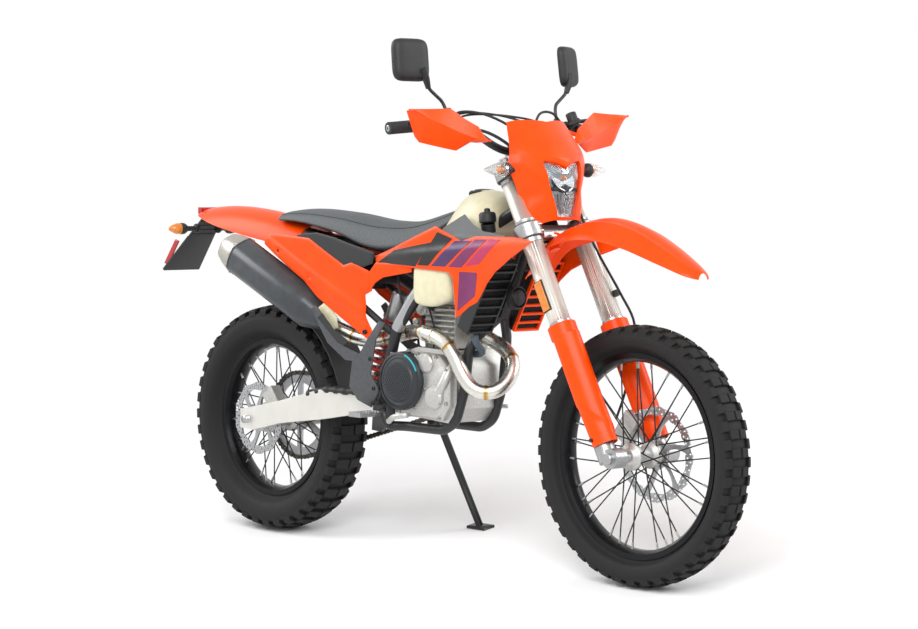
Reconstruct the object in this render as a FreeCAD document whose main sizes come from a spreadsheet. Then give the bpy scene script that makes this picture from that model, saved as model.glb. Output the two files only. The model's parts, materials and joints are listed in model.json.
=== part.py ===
"""Off-road motorcycle with two wheels in line, leaning on its side stand.

Millimetres. The bike is drawn upright: +X forward, +Y to its left, +Z up, with the
ground point under the rear axle as its own zero. At the end every piece is leaned
over onto the stand and moved so that the zero is the middle of the footprint.
"""
import FreeCAD
import Part
import Sketcher
import math
import os
from FreeCAD import Placement, Rotation, Vector

doc = FreeCAD.newDocument("Motorcycle")

SIZES = {
    # whole bike
    "wheelbase": 1487, "seat_height": 952, "body_half_width": 130, "rake": 27.5, "lean": 9,
    "running_clearance": 0.05, "moving_gap": 5, "overrun": 10, "panel_thickness": 4,
    # front wheel
    "front_tyre_radius": 352, "front_tyre_width": 98, "front_bead_radius": 267,
    "front_rim_lip": 10, "front_rim_depth": 14, "front_rim_width": 52, "rim_wall": 4.5,
    "front_lug_height": 9, "front_lug_rows": 44,
    "front_axle_radius": 11, "front_axle_length": 246, "front_hub_radius": 23,
    "front_hub_flange": 37, "hub_flange_thickness": 8, "front_hub_width": 74,
    "front_disc_radius": 130, "front_disc_face": 62, "disc_thickness": 4, "disc_ring": 24,
    "disc_carrier_radius": 46, "disc_arm_width": 16,
    "spoke_radius": 1.9, "spoke_stagger": 6, "spoke_seat": 3, "spokes_each_way": 9,
    # rear wheel
    "rear_tyre_radius": 343, "rear_tyre_width": 136, "rear_bead_radius": 229,
    "rear_rim_lip": 10, "rear_rim_depth": 15, "rear_rim_width": 68, "rear_lug_height": 12,
    "rear_lug_rows": 40,
    "rear_axle_radius": 12.5, "rear_axle_length": 292, "rear_hub_radius": 29,
    "rear_hub_flange": 47, "rear_hub_width": 84, "rear_disc_radius": 110, "rear_disc_face": 86,
    # chain drive
    "chain_line": 82, "sprocket_radius": 131, "sprocket_thickness": 6, "sprocket_teeth": 52,
    "tooth_height": 5, "tooth_width": 8, "front_sprocket_radius": 36, "chain_height": 15,
    "chain_width": 18, "chain_plate": 3.2, "chain_pitch": 15.875, "roller_radius": 5,
    # fork and clamps, measured up the fork from the axle
    "axle_offset": 22, "clamp_offset": 22, "fork_half_spread": 104, "fork_height": 862,
    "slider_radius": 24, "fork_tube_radius": 29.5, "fork_neck_radius": 27,
    "fork_tube_start": 362, "fork_top": 880, "fork_cap_radius": 21, "fork_cap_height": 12,
    "lower_clamp_start": 655, "lower_clamp_height": 38, "upper_clamp_start": 836,
    "upper_clamp_height": 26, "clamp_wall": 10, "stem_radius": 15, "head_tube_radius": 32,
    "head_tube_bore": 21, "axle_lug_radius": 27, "axle_lug_width": 44,
    "guard_ring_height": 36, "guard_ring_wall": 6, "guard_gap": 2, "guard_wall": 3.5,
    # handlebar
    "bar_radius": 11, "bar_half_width": 410, "grip_radius": 17, "grip_length": 122,
    "riser_width": 24, "riser_depth": 38, "riser_spacing": 46, "lever_radius": 6,
    "perch_radius": 17, "perch_width": 26,
    # frame
    "spar_radius": 16, "down_tube_radius": 19, "cradle_radius": 14, "pivot_plate_inside": 104,
    "pivot_plate_thickness": 13, "subframe_tube_radius": 10, "bend_radius": 60,
    # swingarm
    "pivot_height": 430, "pivot_tube_radius": 21,
    # engine
    "case_half_width": 88, "clutch_radius": 80, "clutch_depth": 52, "cover_depth": 30,
    "magneto_radius": 62, "cylinder_half_width": 66, "head_half_width": 60,
    "fin_depth": 5, "fin_thickness": 5, "fin_count": 7, "coolant_radius": 10, "horn_radius": 33,
    "horn_depth": 22,
    # exhaust
    "header_radius": 19, "header_bend": 34, "muffler_radius": 62,
    "muffler_cone": 92, "muffler_cap": 64, "muffler_tip_radius": 19, "muffler_tip_depth": 40,
    # side stand
    "stand_radius": 11, "stand_foot_length": 74, "stand_foot_width": 44,
    "stand_foot_thickness": 8, "stand_pin_radius": 6, "stand_boss_radius": 17,
    "stand_boss_length": 20,
    # controls, lights and mirrors
    "mirror_size": 148, "mirror_depth": 26, "mirror_stem_radius": 5, "indicator_radius": 19,
    "indicator_length": 78, "indicator_stalk_radius": 8, "reflector_thickness": 4,
    "peg_length": 92, "peg_depth": 50, "peg_thickness": 14, "peg_teeth": 7, "pedal_radius": 8,
    "mask_half_width": 134, "cap_radius": 43, "cap_height": 22, "radiator_width": 100,
    "radiator_height": 222,
    "radiator_depth": 34, "radiator_tilt": 27, "louvre_depth": 9, "louvre_width": 6,
    "louvre_count": 8,
}


def text(size):
    """The cell formula of a size, or the plain number."""
    return size.formula if isinstance(size, Size) else repr(float(size))


class Size(float):
    """A number that keeps the cell formula it was worked out from."""

    def __new__(cls, value, formula):
        made = super().__new__(cls, value)
        made.formula = formula
        return made

    def __add__(self, other):
        return Size(float(self) + float(other), f"({text(self)} + {text(other)})")

    def __sub__(self, other):
        return Size(float(self) - float(other), f"({text(self)} - {text(other)})")

    def __rsub__(self, other):
        return Size(float(other) - float(self), f"({text(other)} - {text(self)})")

    def __mul__(self, other):
        return Size(float(self) * float(other), f"({text(self)} * {text(other)})")

    def __truediv__(self, other):
        return Size(float(self) / float(other), f"({text(self)} / {text(other)})")

    def __neg__(self):
        return Size(-float(self), f"(-{text(self)})")

    __radd__ = __add__
    __rmul__ = __mul__


class SizeSheet:
    """The driving sizes: one cell and one alias each, read back by name."""

    def __init__(self, values):
        self.sheet = doc.addObject("Spreadsheet::Sheet", "Sizes")
        for row, (name, value) in enumerate(values.items(), start=1):
            self.sheet.set(f"A{row}", str(value))
            self.sheet.setAlias(f"A{row}", name)
        doc.recompute()

    def __getattr__(self, name):
        return Size(float(self.sheet.get(name)), f"Sizes.{name}")


s = SizeSheet(SIZES)
nodes = {}
UP = Vector(0, 0, 1)
ACROSS = Vector(0, 1, 0)
FORWARD = Vector(1, 0, 0)


def keep(name, item):
    """Gives a finished piece its label and puts it on the list of pieces."""
    item.Label = name
    nodes[name] = item
    return item


def bind(item, **sizes):
    for name, size in sizes.items():
        item.setExpression(name, text(size))
    return item


def turned(direction):
    return Rotation(UP, direction)


def cylinder(radius, length, start, direction=UP):
    item = bind(doc.addObject("Part::Cylinder", "Round"), Radius=radius, Height=length)
    item.Placement = Placement(start, turned(direction))
    return item


def cone(start_radius, end_radius, length, start, direction=UP):
    item = doc.addObject("Part::Cone", "Cone")
    bind(item, Radius1=start_radius, Radius2=end_radius, Height=length)
    item.Placement = Placement(start, turned(direction))
    return item


def block(length, width, height, centre, rotation=Rotation()):
    """A box about its own centre."""
    item = bind(doc.addObject("Part::Box", "Block"), Length=length, Width=width, Height=height)
    corner = Vector(-length / 2, -width / 2, -height / 2)
    item.Placement = Placement(centre, rotation).multiply(Placement(corner, Rotation()))
    return item


def fused(items):
    joined = doc.addObject("Part::MultiFuse", "Joined")
    joined.Shapes = items
    return joined


def cut(base, tool):
    result = doc.addObject("Part::Cut", "Cut")
    result.Base = base
    result.Tool = tool
    return result


def mirrored(item):
    other = doc.addObject("Part::Mirroring", "OtherSide")
    other.Source = item
    other.Normal = ACROSS
    return other


def both_sides(item):
    """A piece and its mirror image on the other side of the bike."""
    both = doc.addObject("Part::Compound", "BothSides")
    both.Links = [item, mirrored(item)]
    return both


def feature(shape):
    item = doc.addObject("Part::Feature", "Shaped")
    item.Shape = shape
    return item


def mirror_shape(shape):
    return shape.mirror(Vector(), ACROSS)


def pair_shape(shape):
    return Part.makeCompound([shape, mirror_shape(shape)])


def origin_plane(body, role):
    return next(plane for plane in body.Origin.OriginFeatures if plane.Role == role)


def new_sketch(body, role):
    sketch = body.newObject("Sketcher::SketchObject", "Sketch")
    sketch.AttachmentSupport = [(origin_plane(body, role), "")]
    sketch.MapMode = "FlatFace"
    return sketch


def hold(sketch, kind, *where):
    """One dimension on a sketch, driven by the cells."""
    size = where[-1]
    index = sketch.addConstraint(Sketcher.Constraint(kind, *where[:-1], float(size)))
    sketch.setExpression(f"Constraints[{index}]", text(size))


def arc_between(start, end, radius, turn):
    """The short arc from start to end; turn 1 bends to the left, -1 to the right."""
    chord = end - start
    rise = radius - math.sqrt(max(radius * radius - chord.Length ** 2 / 4, 0))
    side = Vector(chord.y, -chord.x, 0).normalize() * turn * rise
    return Part.Arc(start, (start + end) / 2 + side, end)


def outline(sketch, corners):
    """A closed outline. A corner is (x, y), or (x, y, radius, turn) when an arc leads to it."""
    count = len(corners)
    ends = [Vector(float(corner[0]), float(corner[1]), 0) for corner in corners]
    edges = []
    for index in range(count):
        following = corners[(index + 1) % count]
        start, end = ends[index], ends[(index + 1) % count]
        if len(following) == 4:
            edge = arc_between(start, end, float(following[2]), following[3])
        else:
            edge = Part.LineSegment(start, end)
        edges.append(sketch.addGeometry(edge, False))
    for index in range(count):
        following = corners[(index + 1) % count]
        first, second = edges[index], edges[(index + 1) % count]
        last_point = 1 if len(following) == 4 and following[3] < 0 else 2
        after = corners[(index + 2) % count]
        next_point = 2 if len(after) == 4 and after[3] < 0 else 1
        sketch.addConstraint(Sketcher.Constraint("Coincident", first, last_point, second, next_point))
        hold(sketch, "DistanceX", -1, 1, second, next_point, following[0])
        hold(sketch, "DistanceY", -1, 1, second, next_point, following[1])
        if len(following) == 4:
            hold(sketch, "Radius", first, following[2])


def revolved(corners, centre):
    """A body turned about an axis across the bike; corners are (distance across, radius)."""
    body = doc.addObject("PartDesign::Body", "Turned")
    sketch = new_sketch(body, "YZ_Plane")
    outline(sketch, corners)
    turn = body.newObject("PartDesign::Revolution", "Revolution")
    turn.Profile = sketch
    turn.ReferenceAxis = (sketch, ["H_Axis"])
    turn.Angle = 360
    sketch.Visibility = False
    body.Placement = Placement(centre, Rotation())
    return body


def plate(corners, left_face, thickness, rounds=()):
    """A flat body seen from the side; corners are (x, z), left_face its higher Y."""
    body = doc.addObject("PartDesign::Body", "Plate")
    sketch = new_sketch(body, "XZ_Plane")
    outline(sketch, corners)
    for x, z, radius in rounds:
        circle = sketch.addGeometry(Part.Circle(Vector(x, z, 0), UP, float(radius)), False)
        hold(sketch, "DistanceX", -1, 1, circle, 3, x)
        hold(sketch, "DistanceY", -1, 1, circle, 3, z)
        hold(sketch, "Radius", circle, radius)
    pad = body.newObject("PartDesign::Pad", "Pad")
    pad.Profile = sketch
    bind(pad, Length=thickness)
    body.Placement = Placement(Vector(0, left_face, 0), Rotation())
    return body


def path_wire(points, bend):
    """Straight runs joined by tangent arcs, each arc as large as its runs allow up to bend."""
    edges = []
    here = points[0]
    for index in range(1, len(points) - 1):
        back = points[index - 1] - points[index]
        ahead = points[index + 1] - points[index]
        reach = min(back.Length, ahead.Length) * 0.45
        turn = math.pi - back.getAngle(ahead)
        trim = min(reach, bend * math.tan(turn / 2))
        radius = trim / math.tan(turn / 2)
        start = points[index] + back.normalize() * trim
        end = points[index] + ahead.normalize() * trim
        inward = (back + ahead).normalize()
        middle = points[index] + inward * (radius / math.cos(turn / 2) - radius)
        edges.append(Part.makeLine(here, start))
        edges.append(Part.Arc(start, middle, end).toShape())
        here = end
    edges.append(Part.makeLine(here, points[-1]))
    return Part.Wire(edges)


def tube_shape(points, radius, bend):
    wire = path_wire(points, float(bend))
    ring = Part.Wire(Part.makeCircle(radius, points[0], points[1] - points[0]))
    return wire.makePipeShell([ring], True, False)


def side_corners(shares):
    """Side view corners from shares of the wheelbase and of the seat height."""
    return [(s.wheelbase * x, s.seat_height * z) for x, z in shares]


def at(x_share, y_share, z_share):
    """A place from shares of the wheelbase, the body's half width and the seat height."""
    return Vector(s.wheelbase * x_share, s.body_half_width * y_share, s.seat_height * z_share)


def route(shares):
    return [at(*share) for share in shares]


def loft(sections, ruled=False):
    return Part.makeLoft([Part.Wire(edges) for edges in sections], True, ruled)


# Steering geometry: a frame that lies on the fork, "up" along it and "ahead" square to it

rake = math.radians(s.rake)
fork_up = Vector(-math.sin(rake), 0, math.cos(rake))
fork_ahead = Vector(math.cos(rake), 0, math.sin(rake))
front_axle = Vector(s.wheelbase, 0, s.front_tyre_radius)
rear_axle = Vector(0, 0, s.rear_tyre_radius)
fork_base = front_axle - fork_ahead * s.axle_offset


def on_fork(up, ahead=0, across=0):
    return fork_base + fork_up * up + fork_ahead * ahead + ACROSS * across


def on_fork_share(up_share, ahead_share, across):
    """Shares of the fork's height, up and ahead; across is a length."""
    return on_fork(s.fork_height * up_share, s.fork_height * ahead_share, across)


def on_stem(up):
    return on_fork(up, -s.clamp_offset)


# Wheels

lug_share = 0.56
centre_band_share = 0.66
shoulder_band_share = 0.95


def ring_places(centre, across, corners, rows, turn_share):
    """Places round a wheel, the same few corners (radius, share of a row) in each row."""
    places = []
    for row in range(rows):
        for radius, share in corners:
            angle = 2 * math.pi * (row + turn_share + share) / rows
            places.append(centre + Vector(radius * math.sin(angle), across,
                                          radius * math.cos(angle)))
    return places


def flat_sided(rings):
    """A closed form with flat sides between rings of places, and a flat cap on both ends."""
    faces = [Part.Face(Part.makePolygon(ring + ring[:1])) for ring in (rings[0], rings[-1])]
    for first, second in zip(rings, rings[1:]):
        for index in range(len(first)):
            following = (index + 1) % len(first)
            corners = [first[index], first[following], second[following], second[index]]
            faces.append(Part.Face(Part.makePolygon(corners + corners[:1])))
    shell = Part.Shell(faces)
    shell.sewShape()
    solid = Part.Solid(shell)
    return solid if solid.Volume > 0 else solid.reversed()


def tyre(radius, width, bead_radius, rim_width, rim_lip, lug_height, lug_rows, centre):
    """A carcass with three bands of lugs, the outer two half a row on, seated in the rim."""
    half, height, rows = width / 2, radius - bead_radius, int(lug_rows)
    seat, lip, widest = rim_width / 2 - s.rim_wall, bead_radius + rim_lip, bead_radius + height * 0.52
    inner, outer = half * centre_band_share, half * shoulder_band_share

    def crown(across):
        return radius - across * across / (width * 2)

    def band(places, turn_share):
        rings = []
        for across in places:
            tip = crown(across)
            root = tip - lug_height
            rings.append(ring_places(centre, across, (
                (root, 0), (tip, 0), (tip, lug_share), (root, lug_share)), rows, turn_share))
        return flat_sided(rings)

    def wall(places):
        """A plain form from ring to ring; places are (across, radius)."""
        return flat_sided([ring_places(centre, across, ((size, 0), (size, lug_share)), rows, 0.5)
                           for across, size in places])

    far = half * 1.2
    flank = lip + (widest - lip) * (far - seat) / (half - seat)
    pieces = [band((-inner, 0, inner), 0), band((inner, outer), 0.5), band((-outer, -inner), 0.5)]
    hollows = [Part.makeCylinder(bead_radius, width * 2, centre - ACROSS * width, ACROSS)]
    for side in (-1, 1):
        pieces.append(wall(((outer * side, crown(outer) - lug_height), (half * side, widest * 1.01))))
        hollows.append(wall(((seat * side, lip * 1.001), (far * side, flank))))
    inside = hollows[0].fuse(hollows[1:])
    return feature(pieces[0].fuse(pieces[1:]).cut(inside).removeSplitter())


def rim(bead_radius, rim_width, rim_lip, rim_depth, centre):
    half = rim_width / 2
    seat = half - s.rim_wall
    lip = bead_radius + rim_lip
    well = bead_radius - rim_depth
    corners = [
        (-half, bead_radius - s.rim_wall), (-half, lip), (-seat, lip), (-seat, bead_radius),
        (seat, bead_radius), (seat, lip), (half, lip), (half, bead_radius - s.rim_wall),
        (half * 0.5, well), (-half * 0.5, well)]
    return revolved(corners, centre)


def spokes(hub_radius, hub_width, rim_radius, rim_spread, centre):
    """Wires from both hub flanges, half leading and half trailing, staggered so none touch."""
    wires = []
    each_way = int(s.spokes_each_way)
    step = 2 * math.pi / each_way
    for side in (-1, 1):
        for way in (-1, 1):
            stagger = s.spoke_stagger * way / 2
            for index in range(each_way):
                hub_angle = step * (index + (way + 1) / 4 + (side + 1) / 8)
                rim_angle = hub_angle + way * step * 1.1
                start = Vector(hub_radius * math.sin(hub_angle), side * (hub_width / 2 + stagger),
                               hub_radius * math.cos(hub_angle))
                end = Vector(rim_radius * math.sin(rim_angle), side * (rim_spread + stagger),
                             rim_radius * math.cos(rim_angle))
                run = end - start
                wires.append(Part.makeCylinder(s.spoke_radius, run.Length, centre + start, run))
    return feature(Part.makeCompound(wires))


def brake_disc(radius, left_face, centre, bore):
    """A braking ring with scalloped edge on five arms that carry it to the hub."""
    body = doc.addObject("PartDesign::Body", "Disc")
    ring = new_sketch(body, "XZ_Plane")
    for size in (radius, radius - s.disc_ring):
        circle = ring.addGeometry(Part.Circle(Vector(), UP, float(size)), False)
        ring.addConstraint(Sketcher.Constraint("Coincident", circle, 3, -1, 1))
        hold(ring, "Radius", circle, size)
    pad = body.newObject("PartDesign::Pad", "RingPad")
    pad.Profile = ring
    bind(pad, Length=s.disc_thickness)
    doc.recompute()
    arm = new_sketch(body, "XZ_Plane")
    reach = radius - s.disc_ring / 2
    half = s.disc_arm_width / 2
    inner = bore * 0.8
    outline(arm, [(-half, inner), (half, inner), (half, reach), (-half, reach)])
    arm_pad = body.newObject("PartDesign::Pad", "ArmPad")
    arm_pad.Profile = arm
    bind(arm_pad, Length=s.disc_thickness)
    body.Placement = Placement(centre + Vector(0, left_face, 0), Rotation())
    return body, arm_pad, arm


keep("front_tyre", tyre(
    s.front_tyre_radius, s.front_tyre_width, s.front_bead_radius, s.front_rim_width,
    s.front_rim_lip, s.front_lug_height, s.front_lug_rows, front_axle))
keep("rear_tyre", tyre(
    s.rear_tyre_radius, s.rear_tyre_width, s.rear_bead_radius, s.rear_rim_width,
    s.rear_rim_lip, s.rear_lug_height, s.rear_lug_rows, rear_axle))
keep("front_rim", rim(
    s.front_bead_radius, s.front_rim_width, s.front_rim_lip, s.front_rim_depth, front_axle))
keep("rear_rim", rim(
    s.rear_bead_radius, s.rear_rim_width, s.rear_rim_lip, s.rear_rim_depth, rear_axle))


def hub(barrel, flange, width, bore, right_end, left_end, carrier_right, carrier_left, centre):
    """A hub turned with two spoke flanges and a carrier face at each end that needs one."""
    half = width / 2
    thick = s.hub_flange_thickness
    corners = [
        (-right_end, bore), (-right_end, carrier_right), (-half - thick, carrier_right),
        (-half - thick, flange), (-half + thick / 2, flange), (-half + thick * 2, barrel),
        (half - thick * 2, barrel), (half - thick / 2, flange), (half + thick, flange),
        (half + thick, carrier_left), (left_end, carrier_left), (left_end, bore)]
    return revolved(corners, centre)


front_bore = s.front_axle_radius + s.running_clearance
rear_bore = s.rear_axle_radius + s.running_clearance
keep("front_hub", hub(
    s.front_hub_radius, s.front_hub_flange, s.front_hub_width, front_bore,
    s.front_hub_width / 2 + s.hub_flange_thickness * 2, s.front_disc_face - s.disc_thickness,
    s.front_hub_radius, s.front_hub_flange * 0.9, front_axle))
keep("rear_hub", hub(
    s.rear_hub_radius, s.rear_hub_flange, s.rear_hub_width, rear_bore,
    s.rear_disc_face - s.disc_thickness / 2, s.chain_line - s.sprocket_thickness / 2,
    s.rear_hub_flange * 0.85, s.rear_hub_flange * 0.95, rear_axle))
keep("front_spokes", spokes(
    s.front_hub_flange - s.spoke_seat * 2, s.front_hub_width,
    s.front_bead_radius - s.front_rim_depth + s.spoke_seat, s.spoke_stagger, front_axle))
keep("rear_spokes", spokes(
    s.rear_hub_flange - s.spoke_seat * 2, s.rear_hub_width,
    s.rear_bead_radius - s.rear_rim_depth + s.spoke_seat, s.spoke_stagger, rear_axle))


def patterned(body, base, sketch, count):
    pattern = body.newObject("PartDesign::PolarPattern", "Around")
    pattern.Originals = [base]
    pattern.Axis = (sketch, ["N_Axis"])
    pattern.Angle = 360
    pattern.Occurrences = int(count)
    body.Tip = pattern
    return pattern


def carried_disc(name, radius, face, centre, carrier, bore, arms):
    body, arm_pad, arm_sketch = brake_disc(radius, face, centre, carrier)
    doc.recompute()
    patterned(body, arm_pad, arm_sketch, arms)
    doc.recompute()
    centre_ring = new_sketch(body, "XZ_Plane")
    for size in (carrier, bore):
        circle = centre_ring.addGeometry(Part.Circle(Vector(), UP, float(size)), False)
        centre_ring.addConstraint(Sketcher.Constraint("Coincident", circle, 3, -1, 1))
        hold(centre_ring, "Radius", circle, size)
    pad = body.newObject("PartDesign::Pad", "CarrierPad")
    pad.Profile = centre_ring
    bind(pad, Length=s.disc_thickness)
    return keep(name, body)


carried_disc("front_disc", s.front_disc_radius, s.front_disc_face, front_axle,
             s.disc_carrier_radius, s.front_axle_radius * 1.8, 6)
carried_disc("rear_disc", s.rear_disc_radius, -s.rear_disc_face + s.disc_thickness / 2,
             rear_axle, s.disc_carrier_radius, s.rear_axle_radius * 1.8, 6)


def sprocket():
    """The driven wheel: a ring of teeth on arms, bolted to the left side of the hub."""
    body = doc.addObject("PartDesign::Body", "Sprocket")
    root = s.sprocket_radius - s.tooth_height
    blank = new_sketch(body, "XZ_Plane")
    for size in (root, root * 0.8):
        circle = blank.addGeometry(Part.Circle(Vector(), UP, float(size)), False)
        blank.addConstraint(Sketcher.Constraint("Coincident", circle, 3, -1, 1))
        hold(blank, "Radius", circle, size)
    ring = body.newObject("PartDesign::Pad", "Ring")
    ring.Profile = blank
    bind(ring, Length=s.sprocket_thickness)
    doc.recompute()
    sketch = new_sketch(body, "XZ_Plane")
    half = s.tooth_width / 2
    tip = s.sprocket_radius + s.tooth_height * 0.6
    foot = root - s.tooth_height
    outline(sketch, [(-half, foot), (half, foot), (half, root), (half * 0.3, tip),
                     (-half * 0.3, tip), (-half, root)])
    tooth = body.newObject("PartDesign::Pad", "Tooth")
    tooth.Profile = sketch
    bind(tooth, Length=s.sprocket_thickness)
    doc.recompute()
    patterned(body, tooth, sketch, s.sprocket_teeth)
    doc.recompute()
    arm = new_sketch(body, "XZ_Plane")
    reach = root * 0.85
    inner = s.rear_hub_flange * 0.7
    half = s.disc_arm_width * 0.7
    outline(arm, [(-half, inner), (half, inner), (half, reach), (-half, reach)])
    arm_pad = body.newObject("PartDesign::Pad", "Arm")
    arm_pad.Profile = arm
    bind(arm_pad, Length=s.sprocket_thickness)
    doc.recompute()
    patterned(body, arm_pad, arm, 6)
    doc.recompute()
    centre = new_sketch(body, "XZ_Plane")
    for size in (s.rear_hub_flange, s.rear_axle_radius * 1.8):
        circle = centre.addGeometry(Part.Circle(Vector(), UP, float(size)), False)
        centre.addConstraint(Sketcher.Constraint("Coincident", circle, 3, -1, 1))
        hold(centre, "Radius", circle, size)
    pad = body.newObject("PartDesign::Pad", "Centre")
    pad.Profile = centre
    bind(pad, Length=s.sprocket_thickness)
    body.Placement = Placement(
        rear_axle + Vector(0, s.chain_line + s.sprocket_thickness / 2, 0), Rotation())
    return body


keep("rear_sprocket", sprocket())


# Axles

front_axle_half = s.front_axle_length / 2
rear_axle_half = s.rear_axle_length / 2
keep("front_axle", cylinder(
    s.front_axle_radius, s.front_axle_length, front_axle - ACROSS * front_axle_half, ACROSS))
keep("rear_axle", cylinder(
    s.rear_axle_radius, s.rear_axle_length, rear_axle - ACROSS * rear_axle_half, ACROSS))


# Fork, clamps and stem

def fork_leg():
    """The bright lower leg and the forged foot that clamps the axle."""
    across = s.fork_half_spread
    leg = cylinder(s.slider_radius, s.fork_tube_start, on_fork(0, 0, across), fork_up)
    lug = cylinder(s.axle_lug_radius, s.axle_lug_width,
                   front_axle + ACROSS * (across - s.axle_lug_width / 2), ACROSS)
    foot = cylinder(s.slider_radius * 1.15, s.axle_lug_radius * 2, on_fork(0, 0, across), fork_up)
    bore = cylinder(s.front_axle_radius, s.front_axle_length, front_axle, ACROSS)
    return cut(fused([leg, lug, foot]), bore)


keep("fork_legs", both_sides(fork_leg()))


def fork_tube():
    """The wide upper tube, narrower from the lower clamp up, with its screw cap."""
    across = s.fork_half_spread
    waist = s.lower_clamp_start + s.lower_clamp_height
    lower = cylinder(s.fork_tube_radius, waist - s.fork_tube_start,
                     on_fork(s.fork_tube_start, 0, across), fork_up)
    upper = cylinder(s.fork_neck_radius, s.fork_top - waist, on_fork(waist, 0, across), fork_up)
    cap = cylinder(s.fork_cap_radius, s.fork_cap_height, on_fork(s.fork_top, 0, across), fork_up)
    return fused([lower, upper, cap])


keep("fork_tubes", both_sides(fork_tube()))


def clamp_plate(start, height, tube_radius):
    """One clamp: a ring round each tube and a bridge to the stem, solid at the stem."""
    outer = tube_radius + s.clamp_wall
    across = s.fork_half_spread
    rings = [cylinder(outer, height, on_fork(start, 0, side * across), fork_up)
             for side in (-1, 1)]
    bridge = block(s.clamp_offset + s.stem_radius * 2, across * 2 - tube_radius * 1.2, height,
                   on_fork(start + height / 2, -s.clamp_offset * 0.75),
                   Rotation(ACROSS, -s.rake))
    holes = [cylinder(tube_radius, height + s.overrun * 2,
                      on_fork(start - s.overrun, 0, side * across), fork_up) for side in (-1, 1)]
    return cut(fused(rings + [bridge]), fused(holes))


bar_height_share = 1.077
bar_middle_share = 0.22
bar_centre = on_fork(s.fork_height * bar_height_share, -s.clamp_offset / 2)
riser_start = s.upper_clamp_start + s.upper_clamp_height
riser_length = s.fork_height * bar_height_share + s.bar_radius * 1.6 - riser_start


def risers():
    """Two posts on the upper clamp that hold the handlebar."""
    posts = [block(s.riser_depth, s.riser_width, riser_length,
                   on_fork(riser_start + riser_length / 2, -s.clamp_offset / 2,
                           side * s.riser_spacing), Rotation(ACROSS, -s.rake))
             for side in (-1, 1)]
    bore = cylinder(s.bar_radius, s.riser_spacing * 4, bar_centre - ACROSS * s.riser_spacing * 2,
                    ACROSS)
    return cut(fused(posts), bore)


def stem():
    start = s.lower_clamp_start
    length = s.upper_clamp_start + s.upper_clamp_height - start
    return cylinder(s.stem_radius, length, on_stem(start), fork_up)


keep("triple_clamps", fused([
    clamp_plate(s.lower_clamp_start, s.lower_clamp_height, s.fork_tube_radius),
    clamp_plate(s.upper_clamp_start, s.upper_clamp_height, s.fork_neck_radius),
    stem(), risers()]))


def fork_guard(across):
    """A plastic shell round the front and outside of a lower leg, under a ring on the tube."""
    inside = s.fork_tube_radius + s.guard_gap
    ring_start = s.fork_tube_start
    ring = Part.makeCylinder(inside + s.guard_ring_wall, s.guard_ring_height,
                             on_fork(ring_start, 0, across), fork_up)
    hollow = Part.makeCylinder(s.fork_tube_radius, s.guard_ring_height + s.overrun * 2,
                               on_fork(ring_start - s.overrun, 0, across), fork_up)
    shield_start = s.axle_lug_radius * 1.6
    shield_length = ring_start - shield_start
    shells = []
    for grown in (s.guard_wall, 0):
        shells.append(Part.makeCone(inside * 0.98 + grown, inside + grown, shield_length,
                                    on_fork(shield_start, 0, across), fork_up))
    shield = shells[0].cut(shells[1])
    deep = inside * 4
    behind = Part.makeBox(deep, deep * 2, s.fork_height)
    turn = Rotation(ACROSS, -s.rake)
    corner = Vector(-deep - inside * 0.25, -deep, 0)
    behind.Placement = Placement(on_fork(0, 0, across), turn).multiply(Placement(corner, Rotation()))
    inner_side = Part.makeBox(deep * 2, deep, s.fork_height)
    corner = Vector(-deep, inside * 0.6, 0)
    inner_side.Placement = Placement(on_fork(0, 0, across), turn).multiply(Placement(corner, Rotation()))
    shield = shield.cut(behind).cut(inner_side)
    return ring.cut(hollow).fuse(shield)


right_guard = fork_guard(-s.fork_half_spread)
keep("fork_guards", feature(pair_shape(right_guard)))


# Handlebar and what is on it

def bar_point(up_share, ahead_share, across_share):
    return on_fork_share(up_share, ahead_share, s.bar_half_width * across_share)


bar_shares = ((1.197, -0.096, 1), (1.197, -0.052, 0.53), (1.172, -0.032, 0.4),
              (bar_height_share, -0.0128, bar_middle_share), (bar_height_share, -0.0128, 0))


def handlebar():
    half = [bar_point(*share) for share in bar_shares]
    half[-2] = bar_centre + ACROSS * s.bar_half_width * bar_middle_share
    half[-1] = bar_centre
    tube = tube_shape(half, s.bar_radius, s.bend_radius)
    run = half[0] - half[1]
    run.normalize()
    grip = Part.makeCylinder(s.grip_radius, s.grip_length, half[0] - run * s.grip_length, run)
    one = tube.fuse(grip)
    return one.fuse(mirror_shape(one)).removeSplitter(), half, run


bar_shape, bar_route, bar_run = handlebar()
keep("handlebar", feature(bar_shape))


def controls():
    """The clamps, levers and reservoirs just inside the grips."""
    inner = bar_route[0] - bar_run * (s.grip_length + s.perch_width * 1.3)
    perch = Part.makeCylinder(s.perch_radius, s.perch_width, inner, bar_run)
    bore = Part.makeCylinder(s.bar_radius, s.perch_width + s.overrun * 2,
                             inner - bar_run * s.overrun, bar_run)
    reach = s.grip_radius * 3.2
    pivot = inner + fork_ahead * reach * 0.75 + bar_run * s.perch_width
    arm = Part.makeCylinder(s.lever_radius * 1.5, reach * 0.6,
                            inner + bar_run * s.perch_width / 2 + fork_ahead * s.bar_radius * 1.2,
                            fork_ahead)
    tip = bar_route[0] - bar_run * s.grip_length * 0.12 + fork_ahead * reach - fork_up * s.grip_radius
    knee = pivot + bar_run * s.grip_length * 0.3 + fork_ahead * reach * 0.3
    lever = tube_shape([pivot - bar_run * s.perch_width * 0.8, pivot, knee, tip],
                       s.lever_radius, s.bend_radius)
    reservoir = Part.makeCylinder(s.perch_radius * 0.9, s.perch_radius * 1.6,
                                  pivot - bar_run * s.perch_width * 1.4 - fork_up * s.perch_radius * 0.4,
                                  fork_up)
    return perch.fuse([arm, lever, reservoir]).cut(bore)


control_shape = controls()
keep("bar_controls", feature(pair_shape(control_shape)))


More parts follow.
